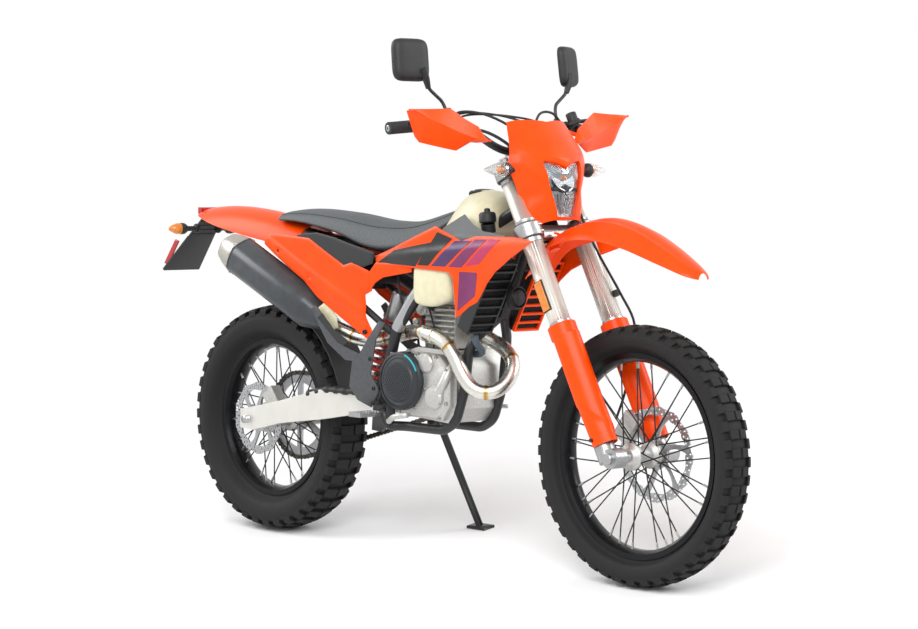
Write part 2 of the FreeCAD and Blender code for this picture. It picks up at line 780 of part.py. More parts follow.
def curved_slab(plan, thickness, low, high):
    """A standing wall whose plan is a smooth curve through the given (x, y) places."""
    outer = Part.BSplineCurve()
    outer.interpolate([Vector(x, y, low) for x, y in plan])
    inner = Part.BSplineCurve()
    inner.interpolate([Vector(x, y + thickness, low) for x, y in plan])
    edges = [outer.toShape(), Part.makeLine(outer.EndPoint, inner.EndPoint), inner.toShape(),
             Part.makeLine(inner.StartPoint, outer.StartPoint)]
    return Part.Face(Part.Wire(Part.__sortEdges__(edges))).extrude(UP * (high - low))


def prism(corners, direction):
    """An outline of given places swept in one direction."""
    return Part.Face(Part.makePolygon(corners + corners[:1])).extrude(direction)


def side_panel_shape(outline_shares, plan_shares, thickness):
    """A panel on the right: its side view outline cut from a wall curved in plan."""
    plan = [(s.wheelbase * x, -s.body_half_width * y) for x, y in plan_shares]
    wide = s.body_half_width * 2
    corners = [Vector(s.wheelbase * x, -wide, s.seat_height * z) for x, z in outline_shares]
    wall = curved_slab(plan, thickness, float(s.seat_height * 0.5), float(s.seat_height * 1.15))
    return wall.common(prism(corners, ACROSS * wide))


def hand_guard():
    """A bowed shield ahead of the grip on an arm from the bar."""
    low_shares = ((1.10, 0.055, 0.45), (1.064, 0.021, 0.64), (1.09, 0.005, 0.92),
                  (1.15, 0.030, 1.045), (1.193, 0.049, 1.035), (1.195, 0.060, 0.66),
                  (1.14, 0.075, 0.45))
    face = [bar_point(*share) for share in low_shares]
    flat = [Vector(0, point.y, point.z) for point in face]
    deep = s.bar_half_width
    body = Part.Face(Part.makePolygon(flat + flat[:1])).extrude(FORWARD * deep * 4)
    plan = [(bar_point(1.12, 0.075, 0.42).x, s.bar_half_width * 0.42),
            (bar_point(1.12, 0.048, 0.6).x, s.bar_half_width * 0.6),
            (bar_point(1.12, 0.030, 0.82).x, s.bar_half_width * 0.82),
            (bar_point(1.12, 0.018, 1.06).x, s.bar_half_width * 1.06)]
    outer = Part.BSplineCurve()
    outer.interpolate([Vector(x, y, 0) for x, y in plan])
    inner = Part.BSplineCurve()
    inner.interpolate([Vector(x - s.panel_thickness, y, 0) for x, y in plan])
    edges = [outer.toShape(), Part.makeLine(outer.EndPoint, inner.EndPoint), inner.toShape(),
             Part.makeLine(inner.StartPoint, outer.StartPoint)]
    high = s.seat_height * 2
    wall = Part.Face(Part.Wire(Part.__sortEdges__(edges))).extrude(UP * high)
    shield = wall.common(body)
    seat = bar_route[1] + (bar_route[2] - bar_route[1]) * 0.3
    reach = Vector(plan[1][0], plan[1][1], face[0].z + s.panel_thickness) - seat
    arm = Part.makeCylinder(s.lever_radius, reach.Length, seat, reach)
    return shield.fuse(arm)


guard_shape = hand_guard().cut(bar_shape)
keep("hand_guards", feature(pair_shape(guard_shape)))


def mirror():
    """A square head with round corners on a bent stem screwed into the lever clamp."""
    root = bar_route[0] - bar_run * (s.grip_length + s.perch_width * 0.8) + fork_up * s.perch_radius
    head = on_fork_share(1.40, -0.011, s.bar_half_width * 0.76)
    elbow = root + fork_up * s.mirror_size * 0.4
    rod = tube_shape([root, elbow, head - UP * s.mirror_size * 0.25], s.mirror_stem_radius,
                     s.bend_radius)
    shell = Part.makeBox(s.mirror_depth, s.mirror_size, s.mirror_size)
    shell = shell.makeFillet(s.mirror_size * 0.2, [edge for edge in shell.Edges
                             if abs(edge.tangentAt(edge.FirstParameter).x) > 0.9])
    shell = shell.makeFillet(s.mirror_depth * 0.3, [edge for edge in shell.Edges
                             if edge.BoundBox.XMin > s.mirror_depth * 0.9])
    tilt = Rotation(ACROSS, -s.rake / 4)
    corner = Vector(-s.mirror_depth / 2, -s.mirror_size / 2, -s.mirror_size / 2)
    shell.Placement = Placement(head, tilt).multiply(Placement(corner, Rotation()))
    return rod.fuse(shell)


keep("mirrors", feature(pair_shape(mirror().cut(control_shape))))


# Headlight mask, lamp, front lights and mudguard

def mask_section(up_share, side_ahead, nose_ahead, half_width, inset, depth):
    """A bow seen from above: a nose between two sides that run straight back by depth."""
    side = on_fork_share(up_share, side_ahead, 0)
    nose = on_fork_share(up_share, nose_ahead, 0) - fork_ahead * inset
    width = half_width - inset
    right, left = side - ACROSS * width, side + ACROSS * width
    back_right, back_left = right - fork_ahead * depth, left - fork_ahead * depth
    return [Part.Arc(right, nose, left).toShape(),
            Part.makeLine(left, back_left), Part.makeLine(back_left, back_right),
            Part.makeLine(back_right, right)]


mask_stations = ((0.800, 0.030, 0.085, 0.45), (0.850, 0.045, 0.113, 0.60),
                 (0.930, 0.062, 0.138, 0.86), (1.000, 0.070, 0.142, 1.0),
                 (1.131, 0.085, 0.118, 0.97))


def mask_block(inset, depth):
    half = s.mask_half_width
    return loft([mask_section(up, side, nose, half * width, inset, depth)
                 for up, side, nose, width in mask_stations], True)


lamp_shares = ((0.806, 0.36), (0.85, 0.44), (0.95, 0.5), (0.965, 0.3), (0.965, -0.3),
               (0.95, -0.5), (0.85, -0.44), (0.806, -0.36))


def lamp_prism(grown):
    corners = []
    for up, across in lamp_shares:
        centre_up = 0.885
        up_place = s.fork_height * up + (grown if up > centre_up else -grown)
        across_place = s.fork_half_spread * 1.1 * across
        across_place += grown if across > 0 else -grown
        corners.append(on_fork(up_place, 0, across_place))
    return prism(corners, fork_ahead * s.fork_height * 0.4)


mask_full = mask_block(0, s.panel_thickness)
mask_shell = mask_full.cut(mask_block(s.panel_thickness, s.panel_thickness + s.overrun))
mask_shell = mask_shell.cut(lamp_prism(0))


def mask_strut(across):
    """A rubber block that holds the mask off a fork tube."""
    length = s.fork_height * 0.07
    strut = Part.makeCylinder(s.lever_radius, length, on_fork_share(0.93, 0, across), fork_ahead)
    tube = Part.makeCylinder(s.fork_neck_radius, s.fork_height, on_fork(0, 0, across), fork_up)
    return strut.cut(tube)


mask_shell = mask_shell.fuse([mask_strut(side * s.fork_half_spread) for side in (-1, 1)])
keep("headlight_mask", feature(mask_shell))
headlight = mask_full.common(lamp_prism(0))
keep("headlight", feature(headlight))


def arch_section(centre, half_width, drop, thickness):
    """A thin arch across the bike, crowned in the middle, square to the bike's length."""
    half = max(half_width, thickness * 2)
    top, low = centre, centre - UP * drop
    right, left = low - ACROSS * half, low + ACROSS * half
    inner_top = top - UP * thickness
    inner_right, inner_left = right + ACROSS * thickness, left - ACROSS * thickness
    return [Part.Arc(right, top, left).toShape(), Part.makeLine(left, inner_left),
            Part.Arc(inner_left, inner_top, inner_right).toShape(),
            Part.makeLine(inner_right, right)]


def front_fender():
    sections = []
    for x_share, z_share, width, drop in fender_line:
        centre = front_axle + Vector(s.front_tyre_radius * x_share, 0, s.front_tyre_radius * z_share)
        sections.append(arch_section(centre, s.fork_half_spread * width,
                                     s.fork_half_spread * drop, s.panel_thickness))
    mount = Part.makeCylinder(s.stem_radius, s.stem_radius * 1.4, on_stem(s.lower_clamp_start),
                              -fork_up)
    return loft(sections).fuse(mount)


fender_line = ((-1.13, 1.36, 0.46, 0.16), (-0.97, 1.57, 0.50, 0.22), (-0.76, 1.70, 0.60, 0.34),
               (-0.56, 1.77, 0.68, 0.45), (-0.30, 1.80, 0.74, 0.55), (-0.04, 1.75, 0.74, 0.55),
               (0.25, 1.62, 0.66, 0.42), (0.59, 1.42, 0.42, 0.16))
keep("front_fender", feature(front_fender()))


def indicator(root, length):
    """A rubber stalk and a rounded lamp shell, pointing left from its root."""
    stalk = Part.makeCylinder(s.indicator_stalk_radius, length * 0.9, root, ACROSS)
    shell = Part.makeCone(s.indicator_radius, s.indicator_radius * 0.7, length * 0.8,
                          root + ACROSS * length * 0.85, ACROSS)
    return stalk.fuse(shell)


front_root = on_fork_share(0.965, 0.105, s.fork_half_spread * 0.72)
keep("front_indicators", feature(pair_shape(indicator(front_root, s.indicator_length).cut(mask_full))))


# Where the side stand turns and where its foot rests

stand_pivot = at(0.377, 1.03, 0.3865)
lean = math.radians(s.lean)
stand_foot_x_share = 0.413
stand_foot_y_share = 2.02
stand_ground = s.body_half_width * stand_foot_y_share * math.tan(lean)
stand_foot = Vector(s.wheelbase * stand_foot_x_share, s.body_half_width * stand_foot_y_share,
                    stand_ground)
stand_down = (stand_foot - stand_pivot).normalize()
stand_folded = Vector(-0.975, 0.13, 0.18).normalize()
stand_axis = stand_down.cross(stand_folded).normalize()
ground_up = Vector(0, -math.sin(lean), math.cos(lean))


# Frame, subframe and swingarm

def main_frame():
    """Head tube, two spars, one down tube that splits into a cradle, and pivot plates."""
    head_start = s.lower_clamp_start + s.lower_clamp_height + s.moving_gap
    head_length = s.upper_clamp_start - s.moving_gap - head_start
    head = Part.makeCylinder(s.head_tube_radius, head_length, on_stem(head_start), fork_up)
    bore = Part.makeCylinder(s.head_tube_bore, head_length + s.overrun * 2,
                             on_stem(head_start - s.overrun), fork_up)
    top = on_stem(head_start + head_length * 0.7)
    low = on_stem(head_start + head_length * 0.5)
    spar_shares = ((0.662, 0.346, 1.014), (0.605, 0.615, 0.935), (0.511, 0.77, 0.840),
                   (0.430, 0.85, 0.683), (0.404, 0.85, 0.546), (0.397, 0.85, 0.46))
    spar = tube_shape([top] + route(spar_shares), s.spar_radius, s.bend_radius)
    split = at(0.642, 0, 0.735)
    down = tube_shape([low, split], s.down_tube_radius, s.bend_radius)
    cradle_shares = ((0.615, 0.46, 0.672), (0.604, 0.577, 0.630), (0.596, 0.577, 0.52),
                     (0.572, 0.577, 0.415), (0.54, 0.577, 0.388), (0.435, 0.615, 0.388),
                     (0.405, 0.87, 0.388), (0.398, 0.89, 0.44))
    cradle = tube_shape([split + ACROSS * s.down_tube_radius * 0.4] + route(cradle_shares),
                        s.cradle_radius, s.bend_radius)
    plate_shares = ((0.366, 0.370), (0.392, 0.368), (0.424, 0.41), (0.424, 0.47), (0.415, 0.58),
                    (0.395, 0.58), (0.371, 0.49))
    face = s.pivot_plate_inside
    corners = [Vector(s.wheelbase * x, face, s.seat_height * z) for x, z in plate_shares]
    pivot_plate = prism(corners, ACROSS * s.pivot_plate_thickness)
    half = spar.fuse([cradle, pivot_plate])
    pin_reach = s.stand_boss_length + s.pivot_plate_thickness
    pin = Part.makeCylinder(s.stand_pin_radius, pin_reach + s.stand_boss_length / 2,
                            stand_pivot - stand_axis * pin_reach, stand_axis)
    whole = head.fuse([down, half, mirror_shape(half), pin])
    return whole.cut(bore).removeSplitter()


frame_shape = main_frame()
keep("main_frame", feature(frame_shape))


def subframe():
    """Two rails under the seat, two stays up to them and two cross tubes."""
    rail_shares = ((0.482, 0.70, 0.835), (0.377, 0.60, 0.885), (0.134, 0.42, 0.940),
                   (-0.080, 0.42, 0.985))
    stay_shares = ((0.418, 0.80, 0.665), (0.282, 0.72, 0.775), (0.134, 0.42, 0.940))
    rail = tube_shape(route(rail_shares), s.subframe_tube_radius, s.bend_radius)
    stay = tube_shape(route(stay_shares), s.subframe_tube_radius, s.bend_radius)
    cross = [Part.makeCylinder(s.subframe_tube_radius * 0.8, place.y * 2, place - ACROSS * place.y * 2,
                               ACROSS) for place in (at(0.134, 0.42, 0.940), at(-0.06, 0.42, 0.982))]
    posts = [Part.makeCylinder(s.subframe_tube_radius * 0.7, s.seat_height * 0.06, place)
             for place in (at(-0.06, 0.42, 0.98), at(0.04, 0.42, 0.958))]
    half = rail.fuse([stay] + posts)
    return half.fuse([mirror_shape(half)] + cross)


def largest(shape):
    """The biggest solid of a shape, without the slivers that a cut leaves."""
    return max(shape.Solids, key=lambda solid: solid.Volume)


subframe_shape = subframe().cut(frame_shape)


def box_section(x, inside, outside, low, high):
    """A four sided section square to the bike's length."""
    corners = [Vector(x, inside, low), Vector(x, outside, low), Vector(x, outside, high),
               Vector(x, inside, high)]
    return [Part.makeLine(corners[index], corners[(index + 1) % 4]) for index in range(4)]


arm_stations = ((0.412, 0.50, 0.69, 0.430, 0.470), (0.350, 0.50, 0.69, 0.415, 0.470),
                (0.290, 0.56, 0.80, 0.405, 0.470), (0.222, 0.77, 1.0, 0.385, 0.478),
                (0.101, 0.79, 1.015, 0.359, 0.430), (0.02, 0.80, 1.015, 0.328, 0.402),
                (-0.022, 0.80, 1.015, 0.33, 0.39))


def swingarm():
    """Two tapering arms from the pivot tube to the axle, joined ahead of the tyre."""
    sections = [box_section(s.wheelbase * x, s.body_half_width * inside,
                            s.body_half_width * outside, s.seat_height * low,
                            s.seat_height * high)
                for x, inside, outside, low, high in arm_stations]
    arm = loft(sections, True)
    both = [arm, mirror_shape(arm)]
    tube_half = s.pivot_plate_inside
    pivot = Vector(s.wheelbase * 0.393, -tube_half, s.pivot_height)
    tube = Part.makeCylinder(s.pivot_tube_radius, tube_half * 2, pivot, ACROSS)
    brace = Part.makeBox(s.wheelbase * 0.05, s.body_half_width * 1.3, s.seat_height * 0.045,
                         at(0.262, -0.65, 0.418))
    bore = Part.makeCylinder(s.rear_axle_radius, s.rear_axle_length,
                             rear_axle - ACROSS * rear_axle_half, ACROSS)
    return both[0].fuse([both[1], tube, brace]).cut(bore).cut(frame_shape)


swingarm_shape = swingarm()
keep("swingarm", feature(swingarm_shape))


# Chain

front_sprocket_centre = at(0.430, 0, 0.457)


def chain_loop(grown):
    """The chain's run round both sprockets as a closed wire, grown outward from the pitch line."""
    rear = Vector(rear_axle.x, 0, rear_axle.z)
    front = Vector(front_sprocket_centre.x, 0, front_sprocket_centre.z)
    run = front - rear
    slope = math.atan2(run.z, run.x)
    flare = math.asin((s.sprocket_radius - s.front_sprocket_radius) / run.Length)

    def around(centre, radius, angle):
        return centre + Vector(math.cos(angle), 0, math.sin(angle)) * radius

    def wrapped(centre, pitch_radius, start_angle, turn):
        """The links that lie round a sprocket, one straight side each."""
        links = int(turn * pitch_radius / s.chain_pitch)
        return [around(centre, pitch_radius + grown, start_angle + turn * link / links)
                for link in range(links + 1)]

    upper, lower = slope + math.pi / 2 - flare, slope - math.pi / 2 + flare
    back = wrapped(rear, s.sprocket_radius, upper, 2 * math.pi - (upper - lower))
    nose = wrapped(front, s.front_sprocket_radius, lower, upper - lower)
    ends = (back[0], nose[-1], back[-1], nose[0])
    return Part.makePolygon(back + nose + back[:1]), ends


def drive_chain():
    """Two bands of side plates round both sprockets."""
    half = float(s.chain_height) / 2
    outer = chain_loop(half)[0]
    inner, ends = chain_loop(-half)[0], chain_loop(0)[1]
    band = Part.Face(outer).cut(Part.Face(inner))
    depth = float(s.chain_plate)
    right = band.copy()
    right.translate(ACROSS * (s.chain_line - s.chain_width / 2))
    left = band.copy()
    left.translate(ACROSS * (s.chain_line + s.chain_width / 2 - s.chain_plate))
    pieces = [right.extrude(ACROSS * depth), left.extrude(ACROSS * depth)]
    return pieces, ends


def rollers(ends):
    """Six sided rollers between the bands, along both free runs."""
    made = []
    rear_top, front_top, rear_low, front_low = ends
    reach = s.sprocket_radius * 0.9
    for start, end in ((rear_top, front_top), (rear_low, front_low)):
        run = end - start
        count = int(run.Length / s.chain_pitch)
        for index in range(count):
            place = start + run * ((index + 0.5) / count)
            if (place - start).Length > reach:
                middle = place + ACROSS * (s.chain_line - s.chain_width / 2 + s.chain_plate)
                corners = [middle + Rotation(ACROSS, 60 * corner).multVec(UP) * s.roller_radius
                           for corner in range(6)]
                made.append(prism(corners, ACROSS * (s.chain_width - s.chain_plate * 2)))
    return made


chain_bands, chain_ends = drive_chain()
chain_rollers = rollers(chain_ends)
keep("drive_chain", feature(chain_bands[0].multiFuse(chain_bands[1:] + chain_rollers[::5])))

slider_reach_shares = (0.64, 0.93)
guide_place_share = 0.2


def chain_guides():
    """A slider on the left arm under the upper run, and a slotted block round the lower run."""
    rear_top, front_top, rear_low, front_low = chain_ends
    side = ACROSS * (s.chain_line - s.chain_width * 0.55) - UP * s.chain_height / 2
    start, end = [rear_top + (front_top - rear_top) * share + side for share in slider_reach_shares]
    deep = UP * s.chain_height * 2.4
    slider = prism([start, end, end - deep, start - deep], ACROSS * s.chain_width * 1.1)
    along = front_low - rear_low
    turn = Rotation(FORWARD, along)
    centre = rear_low + along * guide_place_share + ACROSS * s.chain_line
    pieces = []
    for length, width, height in (
            (s.chain_height * 4, s.chain_width * 1.8, s.chain_height * 2.6),
            (s.chain_height * 6, s.chain_width + s.guard_gap, s.chain_height + s.guard_gap)):
        piece = Part.makeBox(length, width, height)
        corner = Vector(-length / 2, -width / 2, -height / 2)
        piece.Placement = Placement(centre, turn).multiply(Placement(corner, Rotation()))
        pieces.append(piece)
    bracket = Part.makeBox(s.wheelbase * 0.03, s.body_half_width * 0.08, s.seat_height * 0.117,
                           at(0.098, 0.74, 0.255))
    guide = pieces[0].cut(pieces[1]).fuse(bracket)
    return Part.makeCompound([largest(slider.cut(swingarm_shape)), guide.cut(swingarm_shape)])


keep("chain_guides", feature(chain_guides()))


# Engine

case_shares = ((0.430, 0.425), (0.560, 0.412), (0.582, 0.455), (0.582, 0.580), (0.565, 0.628),
               (0.475, 0.632), (0.435, 0.615), (0.421, 0.52))


def crankcase():
    corners = [Vector(s.wheelbase * x, -s.case_half_width, s.seat_height * z)
               for x, z in case_shares]
    case = prism(corners, ACROSS * s.case_half_width * 2)
    room = Part.makeBox(s.wheelbase * 0.08, s.body_half_width, s.seat_height * 0.13,
                        at(0.39, 0.48, 0.385))
    pivot = Part.makeCylinder(s.pivot_tube_radius + s.guard_gap, s.body_half_width * 2,
                              Vector(s.wheelbase * 0.393, -s.body_half_width, s.pivot_height), ACROSS)
    return case.cut(room).cut(pivot).cut(frame_shape)


crankcase_shape = crankcase()
keep("crankcase", feature(crankcase_shape))
cylinder_shares = ((0.478, 0.632), (0.560, 0.632), (0.560, 0.760), (0.478, 0.760))
head_shares = ((0.474, 0.760), (0.565, 0.760), (0.560, 0.835), (0.474, 0.835))
fin_reach_shares = (0.646, 0.748)


def barrel():
    """The barrel with a row of short fins along both sides."""
    low, high = fin_reach_shares
    pieces = [plate(side_corners(cylinder_shares), s.cylinder_half_width,
                    s.cylinder_half_width * 2)]
    for fin in range(int(s.fin_count)):
        up = low + (high - low) * fin / (s.fin_count - 1)
        pieces.append(block(s.wheelbase * 0.078, (s.cylinder_half_width + s.fin_depth) * 2,
                            s.fin_thickness, at(0.519, 0, up)))
    return fused(pieces)


keep("cylinder", barrel())
keep("cylinder_head", plate(side_corners(head_shares), s.head_half_width, s.head_half_width * 2))


def engine_covers():
    """Right clutch cover with its round bulge, left magneto cover and sprocket cover."""
    cover_shares = ((0.432, 0.430), (0.556, 0.420), (0.576, 0.470), (0.576, 0.575),
                    (0.545, 0.615), (0.440, 0.600))
    corners = [Vector(s.wheelbase * x, -s.case_half_width, s.seat_height * z)
               for x, z in cover_shares]
    right = prism(corners, -ACROSS * s.cover_depth)
    clutch_centre = at(0.457, 0, 0.530) - ACROSS * s.case_half_width
    bulge = Part.makeCone(s.clutch_radius, s.clutch_radius * 0.9, s.clutch_depth, clutch_centre,
                          -ACROSS)
    pump = Part.makeCylinder(s.clutch_radius * 0.4, s.clutch_depth * 0.85,
                             at(0.545, 0, 0.49) - ACROSS * s.case_half_width, -ACROSS)
    face = Part.makeCone(s.clutch_radius * 0.72, s.clutch_radius * 0.66, s.clutch_depth * 1.12,
                         clutch_centre, -ACROSS)
    screws = [Part.makeCylinder(s.clutch_radius * 0.09, s.clutch_depth * 0.75,
                                clutch_centre + Rotation(ACROSS, 60 * place + 20).multVec(UP)
                                * s.clutch_radius * 1.06, -ACROSS) for place in range(4)]
    left = Part.makeCone(s.magneto_radius, s.magneto_radius * 0.92, s.cover_depth * 1.1,
                         at(0.532, 0, 0.50) + ACROSS * s.case_half_width, ACROSS)
    plug = Part.makeCylinder(s.magneto_radius * 0.3, s.cover_depth * 1.25,
                             at(0.532, 0, 0.50) + ACROSS * s.case_half_width, ACROSS)
    covers = largest(right.fuse([bulge, face, pump] + screws).cut(frame_shape))
    return Part.makeCompound([covers, left.fuse(plug)])


keep("engine_covers", feature(engine_covers()))


# Exhaust

header_shares = ((0.562, 0.06, 0.680), (0.592, 0.06, 0.672), (0.640, 0.11, 0.640),
                 (0.672, 0.05, 0.60), (0.680, -0.20, 0.545), (0.668, -0.56, 0.512),
                 (0.640, -0.80, 0.518), (0.616, -0.88, 0.560), (0.598, -0.92, 0.615),
                 (0.568, -0.92, 0.662), (0.505, -0.84, 0.680), (0.440, -0.50, 0.676),
                 (0.377, -0.50, 0.650), (0.318, -0.60, 0.636))

muffler_tail = at(-0.067, -0.96, 0.905)
header_end = at(0.224, -0.72, 0.681)
muffler_axis = (header_end - muffler_tail).normalize()
collar_shares = ((4, 0.5), (9, 0.35), (9, 0.75))


def exhaust_header():
    """The bent pipe with its flange, weld bands along it and the clamp at the muffler."""
    places = route(header_shares)
    pipe = tube_shape(places + [header_end + muffler_axis * s.header_bend, header_end],
                      s.header_radius, s.header_bend * 2)
    bands = [Part.makeCylinder(s.header_radius * 1.12, s.header_bend * 0.5, header_end,
                               muffler_axis),
             Part.makeCylinder(s.header_radius * 1.4, s.header_bend * 0.2,
                               places[0] + (places[1] - places[0]) * 0.15, places[1] - places[0])]
    for index, share in collar_shares:
        run = places[index + 1] - places[index]
        bands.append(Part.makeCylinder(s.header_radius * 1.06, s.header_bend * 0.2,
                                       places[index] + run * share, run))
    return pipe.fuse(bands)


keep("exhaust_header", feature(exhaust_header()))


def muffler():
    """A long can with a coned front and an end cap, its outlet bored in the cap."""
    tail = muffler_tail
    length = (header_end - tail).Length
    can_start = s.muffler_cap
    cone_start = length - s.muffler_cone
    cap = cone(s.muffler_radius * 0.72, s.muffler_radius * 0.97, s.muffler_cap, tail, muffler_axis)
    can = cylinder(s.muffler_radius, cone_start - can_start, tail + muffler_axis * can_start,
                   muffler_axis)
    front = cone(s.muffler_radius, s.header_radius * 1.1, s.muffler_cone,
                 tail + muffler_axis * cone_start, muffler_axis)
    outlet = cylinder(s.muffler_tip_radius, s.muffler_tip_depth, tail, muffler_axis)
    return cut(fused([cap, can, front]), outlet)


keep("muffler", muffler())


# Tank, seat and plastics

def rounded_section(x, half_low, half_high, low, high, crown):
    """A closed section: flat below, straight leaning sides and a crowned top."""
    right_low, left_low = Vector(x, -half_low, low), Vector(x, half_low, low)
    right_high, left_high = Vector(x, -half_high, high), Vector(x, half_high, high)
    return [Part.makeLine(left_low, right_low), Part.makeLine(right_low, right_high),
            Part.Arc(right_high, Vector(x, 0, high + crown), left_high).toShape(),
            Part.makeLine(left_high, left_low)]


def long_loft(stations, ruled=False):
    """A form along the bike from stations of shares: x, half widths low and high, low, high, crown."""
    return loft([rounded_section(s.wheelbase * x, s.body_half_width * wide_low,
                                 s.body_half_width * wide_high, s.seat_height * low,
                                 s.seat_height * high, s.seat_height * crown)
                 for x, wide_low, wide_high, low, high, crown in stations], ruled)


seat_stations = ((0.040, 0.62, 0.50, 0.992, 1.010, 0.012), (0.095, 0.68, 0.56, 0.990, 1.016, 0.016),
                 (0.230, 0.76, 0.58, 0.958, 1.008, 0.018), (0.350, 0.84, 0.56, 0.912, 0.988, 0.018),
                 (0.430, 0.78, 0.48, 0.925, 0.990, 0.018), (0.510, 0.66, 0.42, 0.975, 1.018, 0.020),
                 (0.558, 0.56, 0.38, 1.018, 1.044, 0.016))
seat_shape = long_loft(seat_stations, True)
keep("seat", feature(seat_shape))

tank_stations = ((0.470, 0.72, 0.58, 0.860, 0.955, 0.004), (0.520, 0.84, 0.60, 0.860, 0.985, 0.006),
                 (0.568, 0.90, 0.56, 0.865, 1.070, 0.020), (0.620, 0.90, 0.56, 0.930, 1.084, 0.020),
                 (0.668, 0.70, 0.46, 0.985, 1.060, 0.014))


def fuel_tank():
    body = long_loft(tank_stations, True)
    lobe_stations = ((0.480, 0.80, 0.97, 0.765, 0.88), (0.530, 0.66, 1.02, 0.755, 0.90),
                     (0.590, 0.66, 1.06, 0.780, 0.93))
    lobe = loft([box_section(s.wheelbase * x, s.body_half_width * inside,
                             s.body_half_width * outside, s.seat_height * low,
                             s.seat_height * high)
                 for x, inside, outside, low, high in lobe_stations], True)
    return body.fuse([lobe, mirror_shape(lobe)])


tank_shape = fuel_tank().cut(frame_shape).cut(seat_shape)
keep("fuel_tank", feature(tank_shape))
cap_centre = at(0.590, 0, 1.085)
keep("fuel_cap", feature(Part.makeCylinder(
    s.cap_radius, s.cap_height, cap_centre, UP).cut(tank_shape)))


shroud_shares = ((0.371, 0.900), (0.464, 0.949), (0.555, 0.998), (0.630, 0.958), (0.672, 0.974),
                 (0.793, 0.977), (0.862, 0.968), (0.775, 0.914), (0.723, 0.872), (0.698, 0.837),
                 (0.672, 0.780), (0.616, 0.732), (0.608, 0.843), (0.594, 0.864), (0.371, 0.875))
shroud_plan_shares = ((0.34, 0.86), (0.40, 0.90), (0.47, 1.02), (0.55, 1.10), (0.63, 1.15),
                      (0.70, 1.20), (0.78, 1.38), (0.87, 1.68))
shroud = side_panel_shape(shroud_shares, shroud_plan_shares, s.panel_thickness)
radiator_side = s.body_half_width * 0.715 + s.radiator_width / 2
shroud_post = Part.makeCylinder(s.subframe_tube_radius * 0.8, s.panel_thickness * 1.7,
                                at(0.664, 0, 0.805) - ACROSS * radiator_side, -ACROSS)
keep("shrouds", feature(pair_shape(shroud.fuse(shroud_post))))
panel_shares = ((0.036, 0.919), (0.038, 0.937), (0.050, 0.954), (0.180, 0.945), (0.286, 0.867),
                (0.308, 0.877), (0.366, 0.850), (0.366, 0.792), (0.348, 0.779), (0.353, 0.717),
                (0.371, 0.665), (0.367, 0.643), (0.353, 0.648), (0.205, 0.765), (0.165, 0.812),
                (0.134, 0.835), (0.067, 0.890))
panel_plan_shares = ((0.02, 0.86), (0.12, 0.94), (0.22, 0.98), (0.32, 0.985), (0.38, 0.97))


def boss(x_share, z_share, radius, inside, outside):
    """A short post across the bike on the right side, from inside to outside."""
    return Part.makeCylinder(radius, outside - inside, at(x_share, 0, z_share) - ACROSS * inside,
                             -ACROSS)


side_panel = side_panel_shape(panel_shares, panel_plan_shares, s.panel_thickness)
panel_posts = [boss(0.282, 0.775, s.subframe_tube_radius * 0.7, s.body_half_width * 0.72,
                    s.body_half_width * 0.97),
               boss(0.150, 0.935, s.subframe_tube_radius * 0.6, s.body_half_width * 0.42,
                    s.body_half_width * 0.93)]
side_panel = side_panel.fuse(panel_posts).cut(subframe_shape).cut(seat_shape)
keep("side_panels", feature(pair_shape(largest(side_panel))))
guard_shares = ((0.202, 0.727), (0.252, 0.626), (0.305, 0.578), (0.325, 0.578), (0.317, 0.499),
                (0.342, 0.460), (0.381, 0.442), (0.401, 0.491), (0.398, 0.507), (0.378, 0.543),
                (0.392, 0.648), (0.418, 0.701), (0.400, 0.705), (0.372, 0.655), (0.345, 0.60),
                (0.300, 0.62), (0.250, 0.69), (0.215, 0.74))
guard_face_share = 1.085
guard_screw_shares = ((0.388, 0.500), (0.386, 0.455))


def frame_guard():
    """A shaped plate outside the frame, on spacers from the pivot plate."""
    face = s.body_half_width * guard_face_share
    spacers = [cylinder(s.spar_radius * 0.4, face - s.panel_thickness / 2 - s.pivot_plate_inside
                        - s.pivot_plate_thickness,
                        at(x, 0, z) + ACROSS * (s.pivot_plate_inside + s.pivot_plate_thickness),
                        ACROSS) for x, z in guard_screw_shares]
    whole = fused([plate(side_corners(guard_shares), face, s.panel_thickness)] + spacers)
    return cut(whole, feature(frame_shape.copy()))


keep("frame_guards", both_sides(frame_guard()))

fender_stations = ((0.110, 0.66, 0.985, 0.075), (0.020, 0.72, 1.012, 0.085),
                   (-0.080, 0.70, 1.030, 0.080), (-0.160, 0.62, 1.032, 0.060),
                   (-0.232, 0.40, 1.020, 0.022))


def rear_fender():
    sections = [arch_section(at(x, 0, top), s.body_half_width * half, s.seat_height * drop,
                             s.panel_thickness) for x, half, top, drop in fender_stations]
    return loft(sections)


rear_fender_shape = rear_fender().cut(seat_shape)
keep("rear_fender", feature(rear_fender_shape))
keep("subframe", feature(largest(subframe_shape.cut(rear_fender_shape).cut(seat_shape))))


# Radiators and their louvred guards

radiator_rotation = Rotation(ACROSS, s.radiator_tilt)
radiator_centre = at(0.663, 0.715, 0.803)
radiator_inside = radiator_centre.y - s.radiator_width / 2


def radiator():
    """A finned block with two lugs that reach the down tube."""
    core = block(s.radiator_depth, s.radiator_width, s.radiator_height, radiator_centre,
                 radiator_rotation)
    upward = radiator_rotation.multVec(UP)
    lugs = [cylinder(s.radiator_depth * 0.25, radiator_inside,
                     Vector(radiator_centre.x, 0, radiator_centre.z)
                     + upward * s.radiator_height * share, ACROSS) for share in (-0.2, 0.35)]
    return cut(fused([core] + lugs), feature(frame_shape.copy()))


keep("radiators", both_sides(radiator()))


